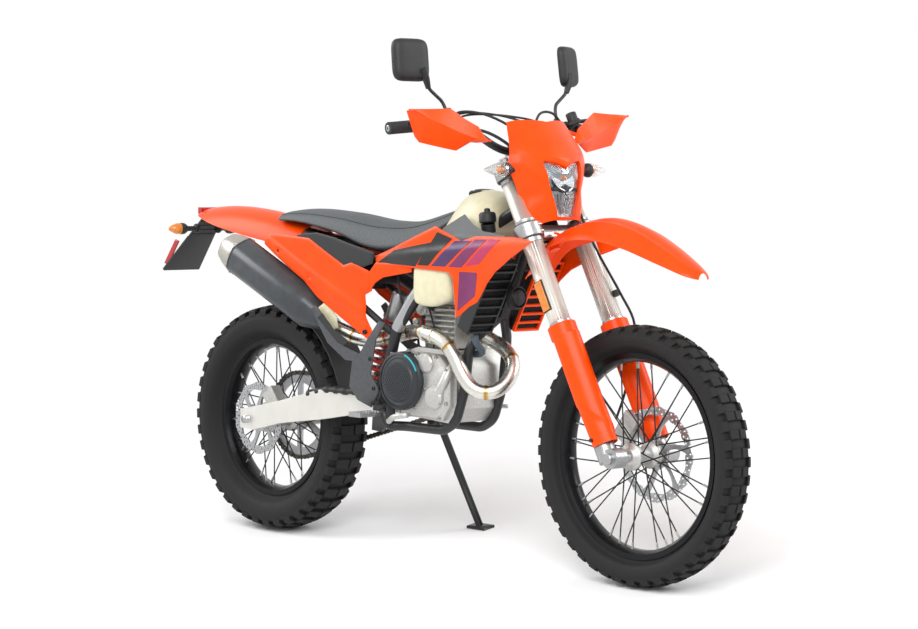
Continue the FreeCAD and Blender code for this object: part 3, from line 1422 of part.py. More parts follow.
def radiator_guard():
    """A frame of louvres ahead of the radiator."""
    ahead = radiator_rotation.multVec(FORWARD)
    upward = radiator_rotation.multVec(UP)
    centre = radiator_centre + ahead * (s.radiator_depth / 2 + s.louvre_depth / 2)
    wide, high = s.radiator_width, s.radiator_height
    edge = s.louvre_width
    pieces = [block(s.louvre_depth, edge, high, centre + ACROSS * side * (wide - edge) / 2,
                    radiator_rotation) for side in (-1, 1)]
    count = int(s.louvre_count)
    for index in range(count + 1):
        up = high * (index / count - 0.5)
        up = up + edge / 2 if index == 0 else up - edge / 2 if index == count else up
        pieces.append(block(s.louvre_depth, wide - edge, edge, centre + upward * up,
                            radiator_rotation))
    return fused(pieces)


keep("radiator_guards", both_sides(radiator_guard()))


right_hose_shares = ((0.572, -0.46, 0.602), (0.592, -0.385, 0.620), (0.615, -0.346, 0.622),
                     (0.6335, -0.48, 0.633), (0.6355, -0.715, 0.657), (0.629, -0.715, 0.703))
left_hose_shares = ((0.562, 0.27, 0.798), (0.592, 0.29, 0.790), (0.619, 0.54, 0.775),
                    (0.646, 0.615, 0.772))


def coolant_hoses():
    """One hose from the crankcase under the right radiator, one from the head behind the left."""
    doc.recompute()
    pieces = []
    for shares in (right_hose_shares, left_hose_shares):
        hose = tube_shape(route(shares), s.coolant_radius, s.bend_radius / 2)
        for name in ("radiators", "crankcase", "cylinder_head"):
            hose = hose.cut(nodes[name].Shape)
        pieces.append(largest(hose))
    return Part.makeCompound(pieces)


keep("coolant_hoses", feature(coolant_hoses()))
horn_place = at(0.694, -0.23, 0.794)


def horn():
    """A round horn that faces ahead, on a stub from the down tube."""
    body = Part.makeCylinder(s.horn_radius, s.horn_depth * 0.7, horn_place, FORWARD)
    rim_piece = Part.makeCone(s.horn_radius * 0.8, s.horn_radius * 0.5, s.horn_depth * 0.3,
                              horn_place + FORWARD * s.horn_depth * 0.7, FORWARD)
    stub_start = Vector(horn_place.x, 0, horn_place.z) - FORWARD * s.down_tube_radius * 2
    stub = Part.makeCylinder(s.lever_radius, s.down_tube_radius * 2.2, stub_start, FORWARD)
    return largest(body.fuse([rim_piece, stub]).cut(frame_shape))


keep("horn", feature(horn()))


# Tail: lamp, plate carrier and lights

plate_top = at(-0.215, 0, 1.005)
plate_low = at(-0.330, 0, 0.812)
rear_root = at(-0.243, 0.354, 0.955)
plate_pad_share = 0.42


def plate_holder():
    """A tongue under the tail that carries a blank plate, with a round boss for each indicator."""
    run = plate_low - plate_top
    normal = Vector(run.z, 0, -run.x).normalize()
    half = s.body_half_width * 0.55
    corners = [plate_top - ACROSS * half * 0.5, plate_top + ACROSS * half * 0.5,
               plate_low + ACROSS * half, plate_low - ACROSS * half]
    tongue = prism(corners, normal * s.panel_thickness * 1.5)
    top = Part.makeBox(s.wheelbase * 0.10, half, s.panel_thickness * 1.5,
                       at(-0.225, -0.275, 1.003))
    pad_top = plate_top + run * plate_pad_share
    pad_half = half * (1 + plate_pad_share) / 2
    pad = prism([pad_top - ACROSS * pad_half, pad_top + ACROSS * pad_half,
                 plate_low + ACROSS * half, plate_low - ACROSS * half],
                normal * s.panel_thickness * 2)
    depth = s.panel_thickness * 1.5
    boss_left = Part.makeCylinder(s.indicator_radius * 0.8, depth, rear_root - ACROSS * depth, ACROSS)
    return tongue.fuse([pad, top, boss_left, mirror_shape(boss_left)])


plate_shape = plate_holder().cut(rear_fender_shape)
keep("plate_holder", feature(plate_shape))
tail_lamp = block(s.wheelbase * 0.012, s.body_half_width * 0.6, s.seat_height * 0.022,
                  at(-0.236, 0, 1.014))
keep("tail_light", cut(tail_lamp, feature(rear_fender_shape.copy())))
keep("rear_indicators", feature(pair_shape(indicator(rear_root, s.indicator_length * 0.8))))


# Foot controls

def foot_pegs():
    """A grate with a row of teeth along its front and back edges, open in the middle."""
    root = s.pivot_plate_inside + s.pivot_plate_thickness
    centre = at(0.384, 0, 0.424) + ACROSS * (root + s.peg_length / 2)
    pitch = s.peg_length / (s.peg_teeth + 1)
    tools = [block(s.peg_depth * 0.62, s.peg_length * 0.36, s.peg_thickness * 2,
                   centre + ACROSS * s.peg_length * share) for share in (-0.22, 0.22)]
    for notch in range(int(s.peg_teeth)):
        place = centre + ACROSS * (pitch * (notch + 1) - s.peg_length / 2)
        tools.append(block(s.peg_depth * 2, pitch * 0.5, s.peg_thickness * 0.6,
                           place + UP * s.peg_thickness / 2))
    return cut(block(s.peg_depth, s.peg_length, s.peg_thickness, centre), fused(tools))


keep("foot_pegs", cut(both_sides(foot_pegs()), feature(frame_shape.copy())))

pedal_shares = ((0.416, -0.86, 0.405), (0.432, -1.10, 0.405), (0.465, -1.30, 0.425),
                (0.505, -1.32, 0.435))
gear_shares = ((0.480, 0.64, 0.455), (0.482, 1.12, 0.450), (0.515, 1.20, 0.445), (0.552, 1.22, 0.448))


def foot_levers():
    pedal = tube_shape(route(pedal_shares), s.pedal_radius, s.bend_radius)
    gear = tube_shape(route(gear_shares), s.pedal_radius * 0.8, s.bend_radius)
    return Part.makeCompound([pedal.cut(frame_shape), gear.cut(crankcase_shape).cut(frame_shape)])


keep("foot_levers", feature(foot_levers()))


# Rear suspension, airbox and callipers

def shock_absorber():
    low, high = at(0.290, -0.12, 0.463), at(0.372, -0.12, 0.775)
    run = high - low
    length = run.Length
    run.normalize()
    body = Part.makeCylinder(s.spar_radius * 1.6, length * 0.4, low + run * length * 0.6, run)
    spring = Part.makeCylinder(s.spar_radius * 2.1, length * 0.62, low + run * length * 0.16, run)
    rod = Part.makeCylinder(s.spar_radius * 0.6, length * 0.2, low, run)
    return body.fuse([spring, rod])


keep("shock_absorber", feature(shock_absorber().cut(swingarm_shape)))


def airbox():
    body = Part.makeBox(s.wheelbase * 0.13, s.body_half_width * 0.80, s.seat_height * 0.10,
                        at(0.150, -0.40, 0.790))
    boot = tube_shape([at(0.27, 0.26, 0.835), at(0.34, 0.36, 0.830), at(0.41, 0.14, 0.795),
                       at(0.445, 0, 0.790), at(0.474, 0, 0.790)], s.spar_radius * 1.6,
                      s.bend_radius)
    return body.fuse(boot)


keep("airbox", feature(airbox().cut(seat_shape)))
flap_angle_shares = (0.07, 0.34)


def inner_fender():
    """A curved flap ahead of the rear tyre, hung from the airbox by two straps."""
    inside = s.rear_tyre_radius + s.moving_gap * 3
    start, end = [math.pi * share for share in flap_angle_shares]
    edges = []
    for radius in (inside, inside + s.panel_thickness):
        places = [rear_axle + Vector(math.cos(angle), 0, math.sin(angle)) * radius
                  for angle in (start, (start + end) / 2, end)]
        edges.append(Part.Arc(*places).toShape())
    ends = [edge.valueAt(edge.LastParameter) for edge in edges]
    starts = [edge.valueAt(edge.FirstParameter) for edge in edges]
    edges += [Part.makeLine(*ends), Part.makeLine(*starts)]
    wall = Part.Face(Part.Wire(Part.__sortEdges__(edges)))
    half = s.body_half_width * 0.5
    wall.translate(-ACROSS * half)
    straps = []
    for side in (-1, 1):
        foot = (ends[0] + ends[1]) * 0.5 + ACROSS * side * half * 0.25
        way = at(0.168, side * 0.125, 0.805) - foot
        straps.append(Part.makeCylinder(s.subframe_tube_radius * 0.6, way.Length, foot, way))
    return wall.extrude(ACROSS * half * 2).fuse(straps)


keep("inner_fender", feature(inner_fender().cut(nodes["airbox"].Shape)))


def brake_body(centre_place, length, depth, height, rotation):
    """A block that straddles the disc with a slot for it."""
    body = block(length, depth, height, centre_place, rotation)
    slot = block(length * 2, s.disc_thickness + s.guard_gap, height,
                 centre_place - rotation.multVec(UP) * height * 0.25, rotation)
    return cut(body, slot)


def calliper_on_disc(axle, disc_middle, disc_radius, angle, length, depth, height):
    """A calliper at an angle up from straight ahead, its slot open to the wheel's centre."""
    outward_way = Vector(math.cos(math.radians(angle)), 0, math.sin(math.radians(angle)))
    place = axle + outward_way * disc_radius * 0.9 + ACROSS * disc_middle
    return brake_body(place, length, depth, height, Rotation(UP, outward_way))


keep("front_caliper", cut(calliper_on_disc(
    front_axle, s.front_disc_face - s.disc_thickness / 2, s.front_disc_radius, 146,
    s.disc_ring * 3.4, s.disc_ring * 1.7, s.front_disc_radius * 0.42), fork_leg()))
keep("rear_caliper", cut(calliper_on_disc(
    rear_axle, -s.rear_disc_face, s.rear_disc_radius, 38,
    s.disc_ring * 3, s.disc_ring * 1.5, s.rear_disc_radius * 0.45), feature(swingarm_shape.copy())))


# Side stand

def side_stand():
    leg_length = (stand_foot - stand_pivot).Length
    leg = Part.makeCylinder(s.stand_radius, leg_length - s.stand_foot_thickness, stand_pivot,
                            stand_down)
    boss = Part.makeCylinder(s.stand_boss_radius, s.stand_boss_length,
                             stand_pivot - stand_axis * s.stand_boss_length / 2, stand_axis)
    pad = Part.makeBox(s.stand_foot_length, s.stand_foot_width, s.stand_foot_thickness)
    corner = Vector(-s.stand_foot_length / 2, -s.stand_foot_width / 2, 0)
    pad.Placement = Placement(stand_foot, Rotation(UP, ground_up)).multiply(
        Placement(corner, Rotation()))
    bore = Part.makeCylinder(s.stand_pin_radius + s.running_clearance, s.stand_boss_length * 2,
                             stand_pivot - stand_axis * s.stand_boss_length, stand_axis)
    return leg.fuse([boss, pad]).cut(bore)


keep("side_stand", feature(side_stand()))


# Lean the bike onto its stand and set the zero at the middle of its footprint

def settle():
    doc.recompute()
    leaning = Placement(Vector(), Rotation(FORWARD, -s.lean))
    boxes = []
    for item in nodes.values():
        shape = item.Shape.copy()
        shape.Placement = leaning.multiply(shape.Placement)
        boxes.append(shape.optimalBoundingBox(False, False))
    low = Vector(min(box.XMin for box in boxes), min(box.YMin for box in boxes),
                 min(box.ZMin for box in boxes))
    high = Vector(max(box.XMax for box in boxes), max(box.YMax for box in boxes),
                  max(box.ZMax for box in boxes))
    shift = Vector(-(low.x + high.x) / 2, -(low.y + high.y) / 2, -low.z)
    moved = Placement(shift, Rotation()).multiply(leaning)
    for item in nodes.values():
        item.Placement = moved.multiply(item.Placement)
    doc.recompute()
    print("size", high - low)
    return moved


def check_and_write():
    problems = [item.Name for item in doc.Objects
                if "Invalid" in item.State or "Error" in item.State]
    problems += [name for name, item in nodes.items()
                 if item.Shape.isNull() or not item.Shape.isValid()]
    if problems:
        raise RuntimeError("not built: " + ", ".join(problems))
    os.makedirs("parts", exist_ok=True)
    for name, item in nodes.items():
        item.Shape.exportStep(f"parts/{name}.step")
        print(name, len(item.Shape.Solids), round(item.Shape.Volume / 1000, 1))


moved = settle()
check_and_write()
for label, place in (("front axle", front_axle), ("rear axle", rear_axle),
                     ("steering", on_stem(s.upper_clamp_start)), ("stand", stand_pivot)):
    print(label, moved.multVec(place))
print("steering axis", moved.Rotation.multVec(fork_up))
print("stand axis", moved.Rotation.multVec(stand_axis))
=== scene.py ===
import json
import math
import bmesh
import bpy
import numpy as np
from mathutils import Matrix, Vector


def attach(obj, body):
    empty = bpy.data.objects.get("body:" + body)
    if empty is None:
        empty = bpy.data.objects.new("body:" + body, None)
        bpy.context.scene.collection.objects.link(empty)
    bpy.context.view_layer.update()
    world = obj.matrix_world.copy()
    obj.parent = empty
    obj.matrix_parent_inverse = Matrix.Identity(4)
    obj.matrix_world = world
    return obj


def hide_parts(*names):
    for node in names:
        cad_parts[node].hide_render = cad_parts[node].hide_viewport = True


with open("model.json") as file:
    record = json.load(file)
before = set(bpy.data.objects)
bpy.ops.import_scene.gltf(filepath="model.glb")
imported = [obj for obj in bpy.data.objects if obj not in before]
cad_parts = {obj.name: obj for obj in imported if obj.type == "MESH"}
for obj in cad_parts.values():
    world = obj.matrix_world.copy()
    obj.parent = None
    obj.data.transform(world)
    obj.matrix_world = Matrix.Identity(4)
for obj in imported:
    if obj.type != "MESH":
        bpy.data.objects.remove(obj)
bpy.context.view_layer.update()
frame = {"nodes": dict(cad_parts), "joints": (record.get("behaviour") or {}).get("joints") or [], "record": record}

# The bike's own upright frame: millimetres, +X forward, +Y left, +Z up, zero on the ground
# under the rear axle. The whole bike leans, so every place written here is turned onto it.
joints = {joint["name"]: joint for joint in frame["joints"]}
bike = {"rearRadius": 343, "frontRadius": 352, "wheelbase": 1487, "rake": 27.5, "axleOffset": 22,
        "forkHalfSpread": 104, "forkLength": 862, "halfBar": 410, "halfBody": 130,
        "bodyHeight": 952}
rearAxle = np.array(joints["rear_wheel_spin"]["pos_m"])
across = np.array(joints["rear_wheel_spin"]["axis"])
forward = np.array([1.0, 0.0, 0.0])
upright = np.cross(forward, across)
bikeAxes = np.array([forward, across, upright])


# Directions cut to length one: v / |v|, row by row.
def unit(ways):
    return ways / np.linalg.norm(ways, axis=-1, keepdims=True)


# Upright millimetres turned into the leaning bike's own place in metres.
def onBike(places):
    return rearAxle + ((np.asarray(places, float) - [0, 0, bike["rearRadius"]]) / 1000) @ bikeAxes


rake = math.radians(bike["rake"])
forkUp = np.array([-math.sin(rake), 0, math.cos(rake)])
forkAhead = np.array([math.cos(rake), 0, math.sin(rake)])
leftWay = np.array([0.0, 1.0, 0.0])
rightWay = -leftWay
rearHub = np.array([0.0, 0.0, bike["rearRadius"]])
frontHub = np.array([bike["wheelbase"], 0.0, bike["frontRadius"]])
forkBase = frontHub - forkAhead * bike["axleOffset"]
forkHalf, forkLength = bike["forkHalfSpread"], bike["forkLength"]
# Stations and places on the body are shares: along the wheelbase, of the half width, of the height
bodyScale = np.array([bike["wheelbase"]] + [bike["halfBody"]] * 2 + [bike["bodyHeight"]] * 3, float)


# A place measured up the fork from the axle, ahead of it and to its left.
def onFork(up, ahead=0.0, side=0.0):
    return forkBase + forkUp * up + forkAhead * ahead + leftWay * side


# A place on the body from its three shares.
def onBody(along, out, up):
    return np.array([along, out, up]) * bodyScale[[0, 1, 3]]


# Colours and materials


# sRGB hex to linear: each channel through the standard sRGB curve.
def linear(code):
    parts = np.array([int(code[i:i + 2], 16) for i in (1, 3, 5)]) / 255
    bent = np.where(parts <= 0.04045, parts / 12.92, ((parts + 0.055) / 1.055) ** 2.4)
    return (*bent.tolist(), 1.0)


# Adds one node, sets its inputs or properties and links (input, node, output).
def add(tree, kind, links=(), **settings):
    made = tree.nodes.new("ShaderNode" + kind)
    for name, value in settings.items():
        socket = made.inputs.get(name.replace("_", " "))
        if hasattr(made, name):
            setattr(made, name, value)
        elif socket is not None:
            socket.default_value = value
        else:
            raise KeyError(kind + " " + name)
    for target, source, output in links:
        tree.links.new(made.inputs[target], source.outputs[output])
    return made


# A colour ramp on one output; its stops are hex colours or plain levels.
def ramp(tree, source, output, stops):
    made = add(tree, "ValToRGB", [("Fac", source, output)])
    band = made.color_ramp.elements
    while len(band) < len(stops):
        band.new(0.5)
    for element, (place, colour) in zip(band, stops):
        element.position = place
        element.color = linear(colour) if isinstance(colour, str) else (colour,) * 3 + (1,)
    return made


# A new material with only its surface shader and output.
def startMaterial(name):
    material = bpy.data.materials.new(name)
    material.use_nodes = True
    tree = material.node_tree
    tree.nodes.clear()
    output = tree.nodes.new("ShaderNodeOutputMaterial")
    shader = tree.nodes.new("ShaderNodeBsdfPrincipled")
    tree.links.new(output.inputs["Surface"], shader.outputs["BSDF"])
    return material, tree, shader


# Two close colours, a roughness range and a bump, all from one noise whose grain is in mm. cells
# adds a moulded texture of cells of that size in mm.
def finish(name, colour, dark, grain, rough=(0.4, 0.5), metal=0.0, bump=0.1, depth=0.0004,
           cells=None, **sockets):
    material, tree, shader = startMaterial(name)
    place = add(tree, "TexCoord")
    noise = add(tree, "TexNoise", [("Vector", place, "Object")], Scale=1000 / grain, Detail=4.0,
                Roughness=0.6)
    tint = ramp(tree, noise, "Fac", [(0.35, dark), (0.65, colour)])
    gloss = ramp(tree, noise, "Fac", [(0.3, rough[0]), (0.7, rough[1])])
    tree.links.new(shader.inputs["Base Color"], tint.outputs["Color"])
    tree.links.new(shader.inputs["Roughness"], gloss.outputs["Color"])
    height, output = noise, "Fac"
    if cells:
        height = add(tree, "TexVoronoi", [("Vector", place, "Object")], Scale=1000 / cells)
        output = "Distance"
    lift = add(tree, "Bump", [("Height", height, output)], Strength=bump, Distance=depth)
    tree.links.new(shader.inputs["Normal"], lift.outputs["Normal"])
    shader.inputs["Metallic"].default_value = metal
    for socket, value in sockets.items():
        shader.inputs[socket.replace("_", " ")].default_value = value
    return material


# Injection-moulded polypropylene, dyed orange: a soft sheen with slight flow marks
orangePlastic = finish("moulded orange polypropylene", "#FB4B00", "#F54600", 60, (0.28, 0.36),
                       bump=0.03, Specular_IOR_Level=0.22)
# The same plastic in black, spark-eroded mould: a fine matt grain
blackPlastic = finish("textured black polypropylene", "#1B1C1E", "#151618", 2.2, (0.5, 0.62),
                      bump=0.25)
# Grey moulded guard with a coarse cell texture, drawn as coarse as the photograph shows it
greyGuard = finish("grained grey polyamide", "#46494C", "#3A3C3F", 9, (0.42, 0.55), bump=0.5,
                   depth=0.0006, cells=9)
# Vulcanised tread rubber: black, dusty, matt
tyreRubber = finish("vulcanised tread rubber", "#1D1D1D", "#151515", 6, (0.6, 0.78), bump=0.3,
                    Specular_IOR_Level=0.3)
gripRubber = finish("moulded grip rubber", "#26272A", "#1E1F21", 3, (0.7, 0.8), bump=0.3)
# Black anodised aluminium rim: thin satin skin over metal
blackRim = finish("black anodised aluminium", "#16171A", "#101113", 30, (0.28, 0.36), metal=0.6,
                  bump=0.03)
blackPaint = finish("black powder coat", "#1C1D20", "#17181A", 3, (0.38, 0.48), bump=0.15)
# Sand-cast aluminium, tumbled: pale grey with a fine pebble
castAluminium = finish("sand-cast aluminium", "#C9C8C4", "#AFAEAB", 3.5, (0.38, 0.55), metal=0.75,
                       bump=0.45, depth=0.0005)
# Forged and polished swingarm metal: almost white in soft light
forgedAluminium = finish("brushed forged aluminium", "#DFDDD7", "#D9D7D1", 60, (0.34, 0.40),
                         metal=0.7, bump=0.05)
machinedAluminium = finish("turned aluminium", "#B2B3B4", "#A0A1A2", 5, (0.30, 0.40), metal=0.9,
                           bump=0.06)
forkAluminium = finish("clear anodised aluminium tube", "#E0DCD3", "#DAD6CD", 60, (0.36, 0.40),
                       metal=0.75, bump=0.0)
discSteel = finish("ground stainless steel", "#BFC0C2", "#A7A8AA", 2, (0.25, 0.38), metal=0.95,
                   bump=0.12)
darkSteel = finish("phosphated steel", "#3A3A3B", "#2B2B2C", 4, (0.4, 0.5), metal=0.7, bump=0.1)
chainSteel = finish("oiled chain steel", "#6A655C", "#4A4640", 4, (0.35, 0.5), metal=0.85, bump=0.1)
zincSteel = finish("zinc plated steel", "#B9BAB6", "#A0A19D", 4, (0.28, 0.4), metal=0.9, bump=0.08)
mufflerCoat = finish("ceramic coated steel", "#4B4E51", "#434649", 35, (0.34, 0.42), metal=0.55,
                     bump=0.03)
brushedCap = finish("brushed stainless cap", "#BDB8AF", "#A8A49B", 4, (0.3, 0.42), metal=0.9,
                    bump=0.1)
silverPaint = finish("silver frame lacquer", "#A9ABAD", "#9FA1A3", 3, (0.32, 0.4), metal=0.6,
                     bump=0.05)
# Rotationally moulded polyethylene: waxy ivory, some light goes through it
tankPlastic = finish("waxy ivory polyethylene", "#DAD5B6", "#D2CCAB", 25, (0.34, 0.44), bump=0.05,
                     Subsurface_Weight=0.25, Subsurface_Scale=0.01)
radiatorBlack = finish("radiator core lacquer", "#17181A", "#0F1011", 4, (0.45, 0.55), bump=0.3)
springRed = finish("red spring lacquer", "#C8281C", "#B22217", 12, (0.3, 0.38), bump=0.03)
hoseRubber = finish("silicone hose", "#45525F", "#3A4651", 6, (0.42, 0.55), bump=0.12)
redLens = finish("red moulded acrylic", "#B5121B", "#9D0E16", 12, (0.12, 0.2), bump=0.03,
                 Coat_Weight=0.5)
amberLens = finish("amber moulded acrylic", "#D9822B", "#C9731F", 12, (0.14, 0.2), bump=0.03,
                   Coat_Weight=0.5)
mirrorGlass = finish("silvered glass", "#D8DCDF", "#D2D6D9", 80, (0.02, 0.04), metal=1.0, bump=0.01)
reflectorChrome = finish("vapour-deposited aluminium", "#9DA1A5", "#8B8F93", 9, (0.14, 0.24),
                         metal=1.0, bump=0.05)
seatVinyl = finish("gripper seat vinyl", "#55595B", "#474B4D", 5, (0.55, 0.68), bump=0.9,
                   depth=0.0012, cells=6)
enginePlate = finish("magnesium cover lacquer", "#33373B", "#2A2D31", 4, (0.4, 0.52), metal=0.3,
                     bump=0.3)


# Clear polycarbonate: thin, nearly colourless, so it is a see-through shell.
def clearLens(name, colour):
    material, tree, shader = startMaterial(name)
    place = add(tree, "TexCoord")
    noise = add(tree, "TexNoise", [("Vector", place, "Object")], Scale=60.0, Detail=2.0)
    tint = ramp(tree, noise, "Fac", [(0.3, colour), (0.7, "#FFFFFF")])
    tree.links.new(shader.inputs["Base Color"], tint.outputs["Color"])
    for socket, value in {"Roughness": 0.03, "IOR": 1.45, "Transmission Weight": 1.0,
                          "Alpha": 0.35}.items():
        shader.inputs[socket].default_value = value
    return material


clearPolycarbonate = clearLens("clear polycarbonate", "#F2F6F8")


# Welded stainless pipe: pale steel that turns straw and violet in bands by the welds.
def heatTinted(name):
    material, tree, shader = startMaterial(name)
    place = add(tree, "TexCoord")
    fine = add(tree, "TexNoise", [("Vector", place, "Object")], Scale=160.0, Detail=3.0)
    wide = add(tree, "TexNoise", [("Vector", place, "Object")], Scale=14.0, Detail=2.0)
    warmth = add(tree, "SeparateXYZ", [("Vector", place, "UV")])
    blend = add(tree, "Math", [(0, wide, "Fac"), (2, warmth, "X")], operation="MULTIPLY_ADD")
    blend.inputs[1].default_value = 0.12
    tint = ramp(tree, blend, "Value", [(0.08, "#DAD7CF"), (0.30, "#D2C7AC"), (0.62, "#B98E4E"),
                                       (0.95, "#86604E")])
    gloss = ramp(tree, fine, "Fac", [(0.3, 0.26), (0.7, 0.30)])
    lift = add(tree, "Bump", [("Height", fine, "Fac")], Strength=0.02, Distance=0.0002)
    tree.links.new(shader.inputs["Base Color"], tint.outputs["Color"])
    tree.links.new(shader.inputs["Roughness"], gloss.outputs["Color"])
    tree.links.new(shader.inputs["Normal"], lift.outputs["Normal"])
    shader.inputs["Metallic"].default_value = 1.0
    return material


heatSteel = heatTinted("welded stainless pipe")

# Printed vinyl film: smooth and evenly glossy
filmBlack = finish("printed film in black", "#1A1A1D", "#151517", 60, (0.2, 0.26), bump=0.02)
filmViolet = finish("printed film in violet", "#4B2A5C", "#432452", 60, (0.2, 0.26), bump=0.02)
filmPlum = finish("printed film in plum", "#74295C", "#6B2454", 60, (0.2, 0.26), bump=0.02)
filmMagenta = finish("printed film in magenta", "#B42C5B", "#A92753", 60, (0.2, 0.26), bump=0.02)
# Silicone seal of the clutch cover, a bright blue-green line
sealTeal = finish("teal silicone seal", "#2FB9C0", "#27A8AF", 20, (0.3, 0.4), bump=0.03)
print("materials ready")

# Mesh tools


# A Catmull-Rom curve: cubic pieces whose slope at a point is half its neighbours' step.
def smoothLine(points, count):
    points = np.asarray(points, float)
    padded = np.vstack([2 * points[0] - points[1], points, 2 * points[-1] - points[-2]])
    place = np.linspace(0, len(points) - 1, count)
    index = np.minimum(place.astype(int), len(points) - 2)
    t = (place - index)[:, None]
    a, b, c, d = (padded[index + shift] for shift in range(4))
    return 0.5 * (2 * b + (c - a) * t + (2 * a - 5 * b + 4 * c - d) * t ** 2
                  + (3 * b - a - 3 * c + d) * t ** 3)


bodyOf = {node: body for body, members in frame["record"]["behaviour"]["bodies"].items()
          for node in members}


# Merges what lies within 2 micrometres and shades smooth below the sharp angle.
def mergeSmooth(mesh, sharp, turnOut):
    work = bmesh.new()
    work.from_mesh(mesh)
    bmesh.ops.remove_doubles(work, verts=work.verts, dist=2e-6)
    if turnOut:
        bmesh.ops.recalc_face_normals(work, faces=work.faces)
    work.to_mesh(mesh)
    work.free()
    mesh.polygons.foreach_set("use_smooth", np.ones(len(mesh.polygons), bool))
    mesh.set_sharp_from_angle(angle=math.radians(sharp))


# Stands a mesh in the scene on the body of its CAD node.
def standPiece(name, mesh, node, replaces):
    piece = bpy.data.objects.new(name, mesh)
    bpy.context.scene.collection.objects.link(piece)
    if replaces:
        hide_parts(node)
    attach(piece, bodyOf[node])
    return piece


# How far along a line each of its points lies: the summed lengths of its steps.
def runLength(line):
    return np.concatenate([[0], np.cumsum(np.linalg.norm(np.diff(line, axis=0), axis=1))])


# Puts arrays into a mesh, merges its poles, turns its faces outwards and rides it.
def meshObject(name, vertices, faces, material, node, sharp=35, uv=None, replaces=False):
    mesh = bpy.data.meshes.new(name)
    mesh.from_pydata(np.asarray(vertices, float).tolist(), [], [list(face) for face in faces])
    if uv is not None:
        layer = mesh.uv_layers.new(name="UVMap")
        corners = np.zeros(len(mesh.loops), np.int32)
        mesh.loops.foreach_get("vertex_index", corners)
        layer.data.foreach_set("uv", np.asarray(uv, np.float32)[corners].ravel())
    mergeSmooth(mesh, sharp, True)
    mesh.materials.append(material)
    return standPiece(name, mesh, node, replaces)


# Quads between neighbouring rows and columns of a grid of points.
def gridFaces(rows, columns, closedRows=False, closedColumns=False):
    r = np.arange(rows if closedRows else rows - 1)
    c = np.arange(columns if closedColumns else columns - 1)
    r, c = (part.ravel() for part in np.meshgrid(r, c, indexing="ij"))
    r2, c2 = (r + 1) % rows, (c + 1) % columns
    corners = [r * columns + c, r2 * columns + c, r2 * columns + c2, r * columns + c2]
    return np.stack(corners, axis=1)


# Gathers several grids, boxes and caps into one mesh
class Build:

    def __init__(self):
        self.vertices, self.faces, self.count = [], [], 0

    # Adds corners and faces that all have the same number of corners.
    def take(self, vertices, faces):
        vertices = np.asarray(vertices, float).reshape(-1, 3)
        self.vertices.append(vertices)
        self.faces.extend((np.asarray(faces) + self.count).tolist())
        self.count += len(vertices)
        return self

    # points has shape (rows, columns, 3), each row a ring; caps close the first and last rows.
    def grid(self, points, closedRows=False, caps=False):
        rows, columns = points.shape[:2]
        faces = gridFaces(rows, columns, closedRows, True).tolist()
        flat = points.reshape(-1, 3)
        if caps:
            centres = np.array([points[0].mean(axis=0), points[-1].mean(axis=0)])
            flat = np.vstack([flat, centres])
            ring = np.arange(columns)
            after = (ring + 1) % columns
            last, tip = (rows - 1) * columns, np.full(columns, rows * columns)
            faces += np.stack([ring, after, tip], axis=1).tolist()
            faces += np.stack([last + after, last + ring, tip + 1], axis=1).tolist()
        self.vertices.append(flat)
        self.faces.extend([[corner + self.count for corner in face] for face in faces])
        self.count += len(flat)
        return self

    # Adds the same again on the other side of the bike.
    def mirror(self):
        half = np.vstack(self.vertices) * [1, -1, 1]
        faces = [[corner + self.count for corner in face[::-1]] for face in self.faces]
        self.vertices.append(half)
        self.faces.extend(faces)
        self.count *= 2
        return self

    # Makes the piece; its body is that of the CAD node it belongs to.
    def put(self, name, material, node, **options):
        return meshObject(name, onBike(np.vstack(self.vertices)), self.faces, material, node,
                          **options)


# Circles square to a line: centre + radius (cos a N + sin a B), N and B from the tangent.
def ringPoints(line, radii, sides=16, squash=1.0, reference=leftWay):
    line = np.asarray(line, float)
    tangent = unit(np.gradient(line, axis=0))
    if np.abs(tangent @ reference).max() > 0.98:
        reference = forward
    side = unit(np.cross(tangent, reference))
    other = np.cross(side, tangent)
    radii = np.broadcast_to(np.asarray(radii, float), (len(line),))
    angle = np.linspace(0, 2 * np.pi, sides, endpoint=False)
    circle = (np.cos(angle)[None, :, None] * side[:, None, :]
              + np.sin(angle)[None, :, None] * other[:, None, :] * squash)
    return line[:, None, :] + radii[:, None, None] * circle


# A closed round bar along a line, curved through its points unless smooth is off.
def tube(build, points, radius, count=24, sides=14, reference=leftWay, smooth=True):
    line = smoothLine(points, count) if smooth else np.asarray(points, float)
    build.grid(ringPoints(line, radius, sides, reference=reference), caps=True)
    return build


# A profile of (along, radius) turned about an axis through centre, closed by caps.
def turned(build, profile, centre, axis, sides=32):
    axis = unit(np.asarray(axis, float))
    reference = forward if abs(axis[0]) < 0.9 else np.array([0.0, 0.0, 1.0])
    first = unit(np.cross(axis, reference))
    second = np.cross(axis, first)
    profile = np.asarray(profile, float)
    angle = np.linspace(0, 2 * np.pi, sides, endpoint=False)
    circle = np.cos(angle)[:, None] * first + np.sin(angle)[:, None] * second
    build.grid(np.asarray(centre, float) + profile[:, 0, None, None] * axis
               + profile[:, 1, None, None] * circle[None], caps=True)
    return build


# The same little solid repeated: base corners along three ways at every centre.
def blocks(build, base, centres, lengthWay, widthWay, heightWay):
    corners, faces = base
    placed = (centres[:, None, :] + corners[None, :, 0, None] * lengthWay[:, None, :]
              + corners[None, :, 1, None] * widthWay[:, None, :]
              + corners[None, :, 2, None] * heightWay[:, None, :])
    count = len(corners)
    offsets = np.arange(len(centres)) * count
    faces = np.asarray(faces)
    every = (faces[None] + offsets[:, None, None]).reshape(-1, faces.shape[1])
    build.take(placed.reshape(-1, 3), every)
    return build


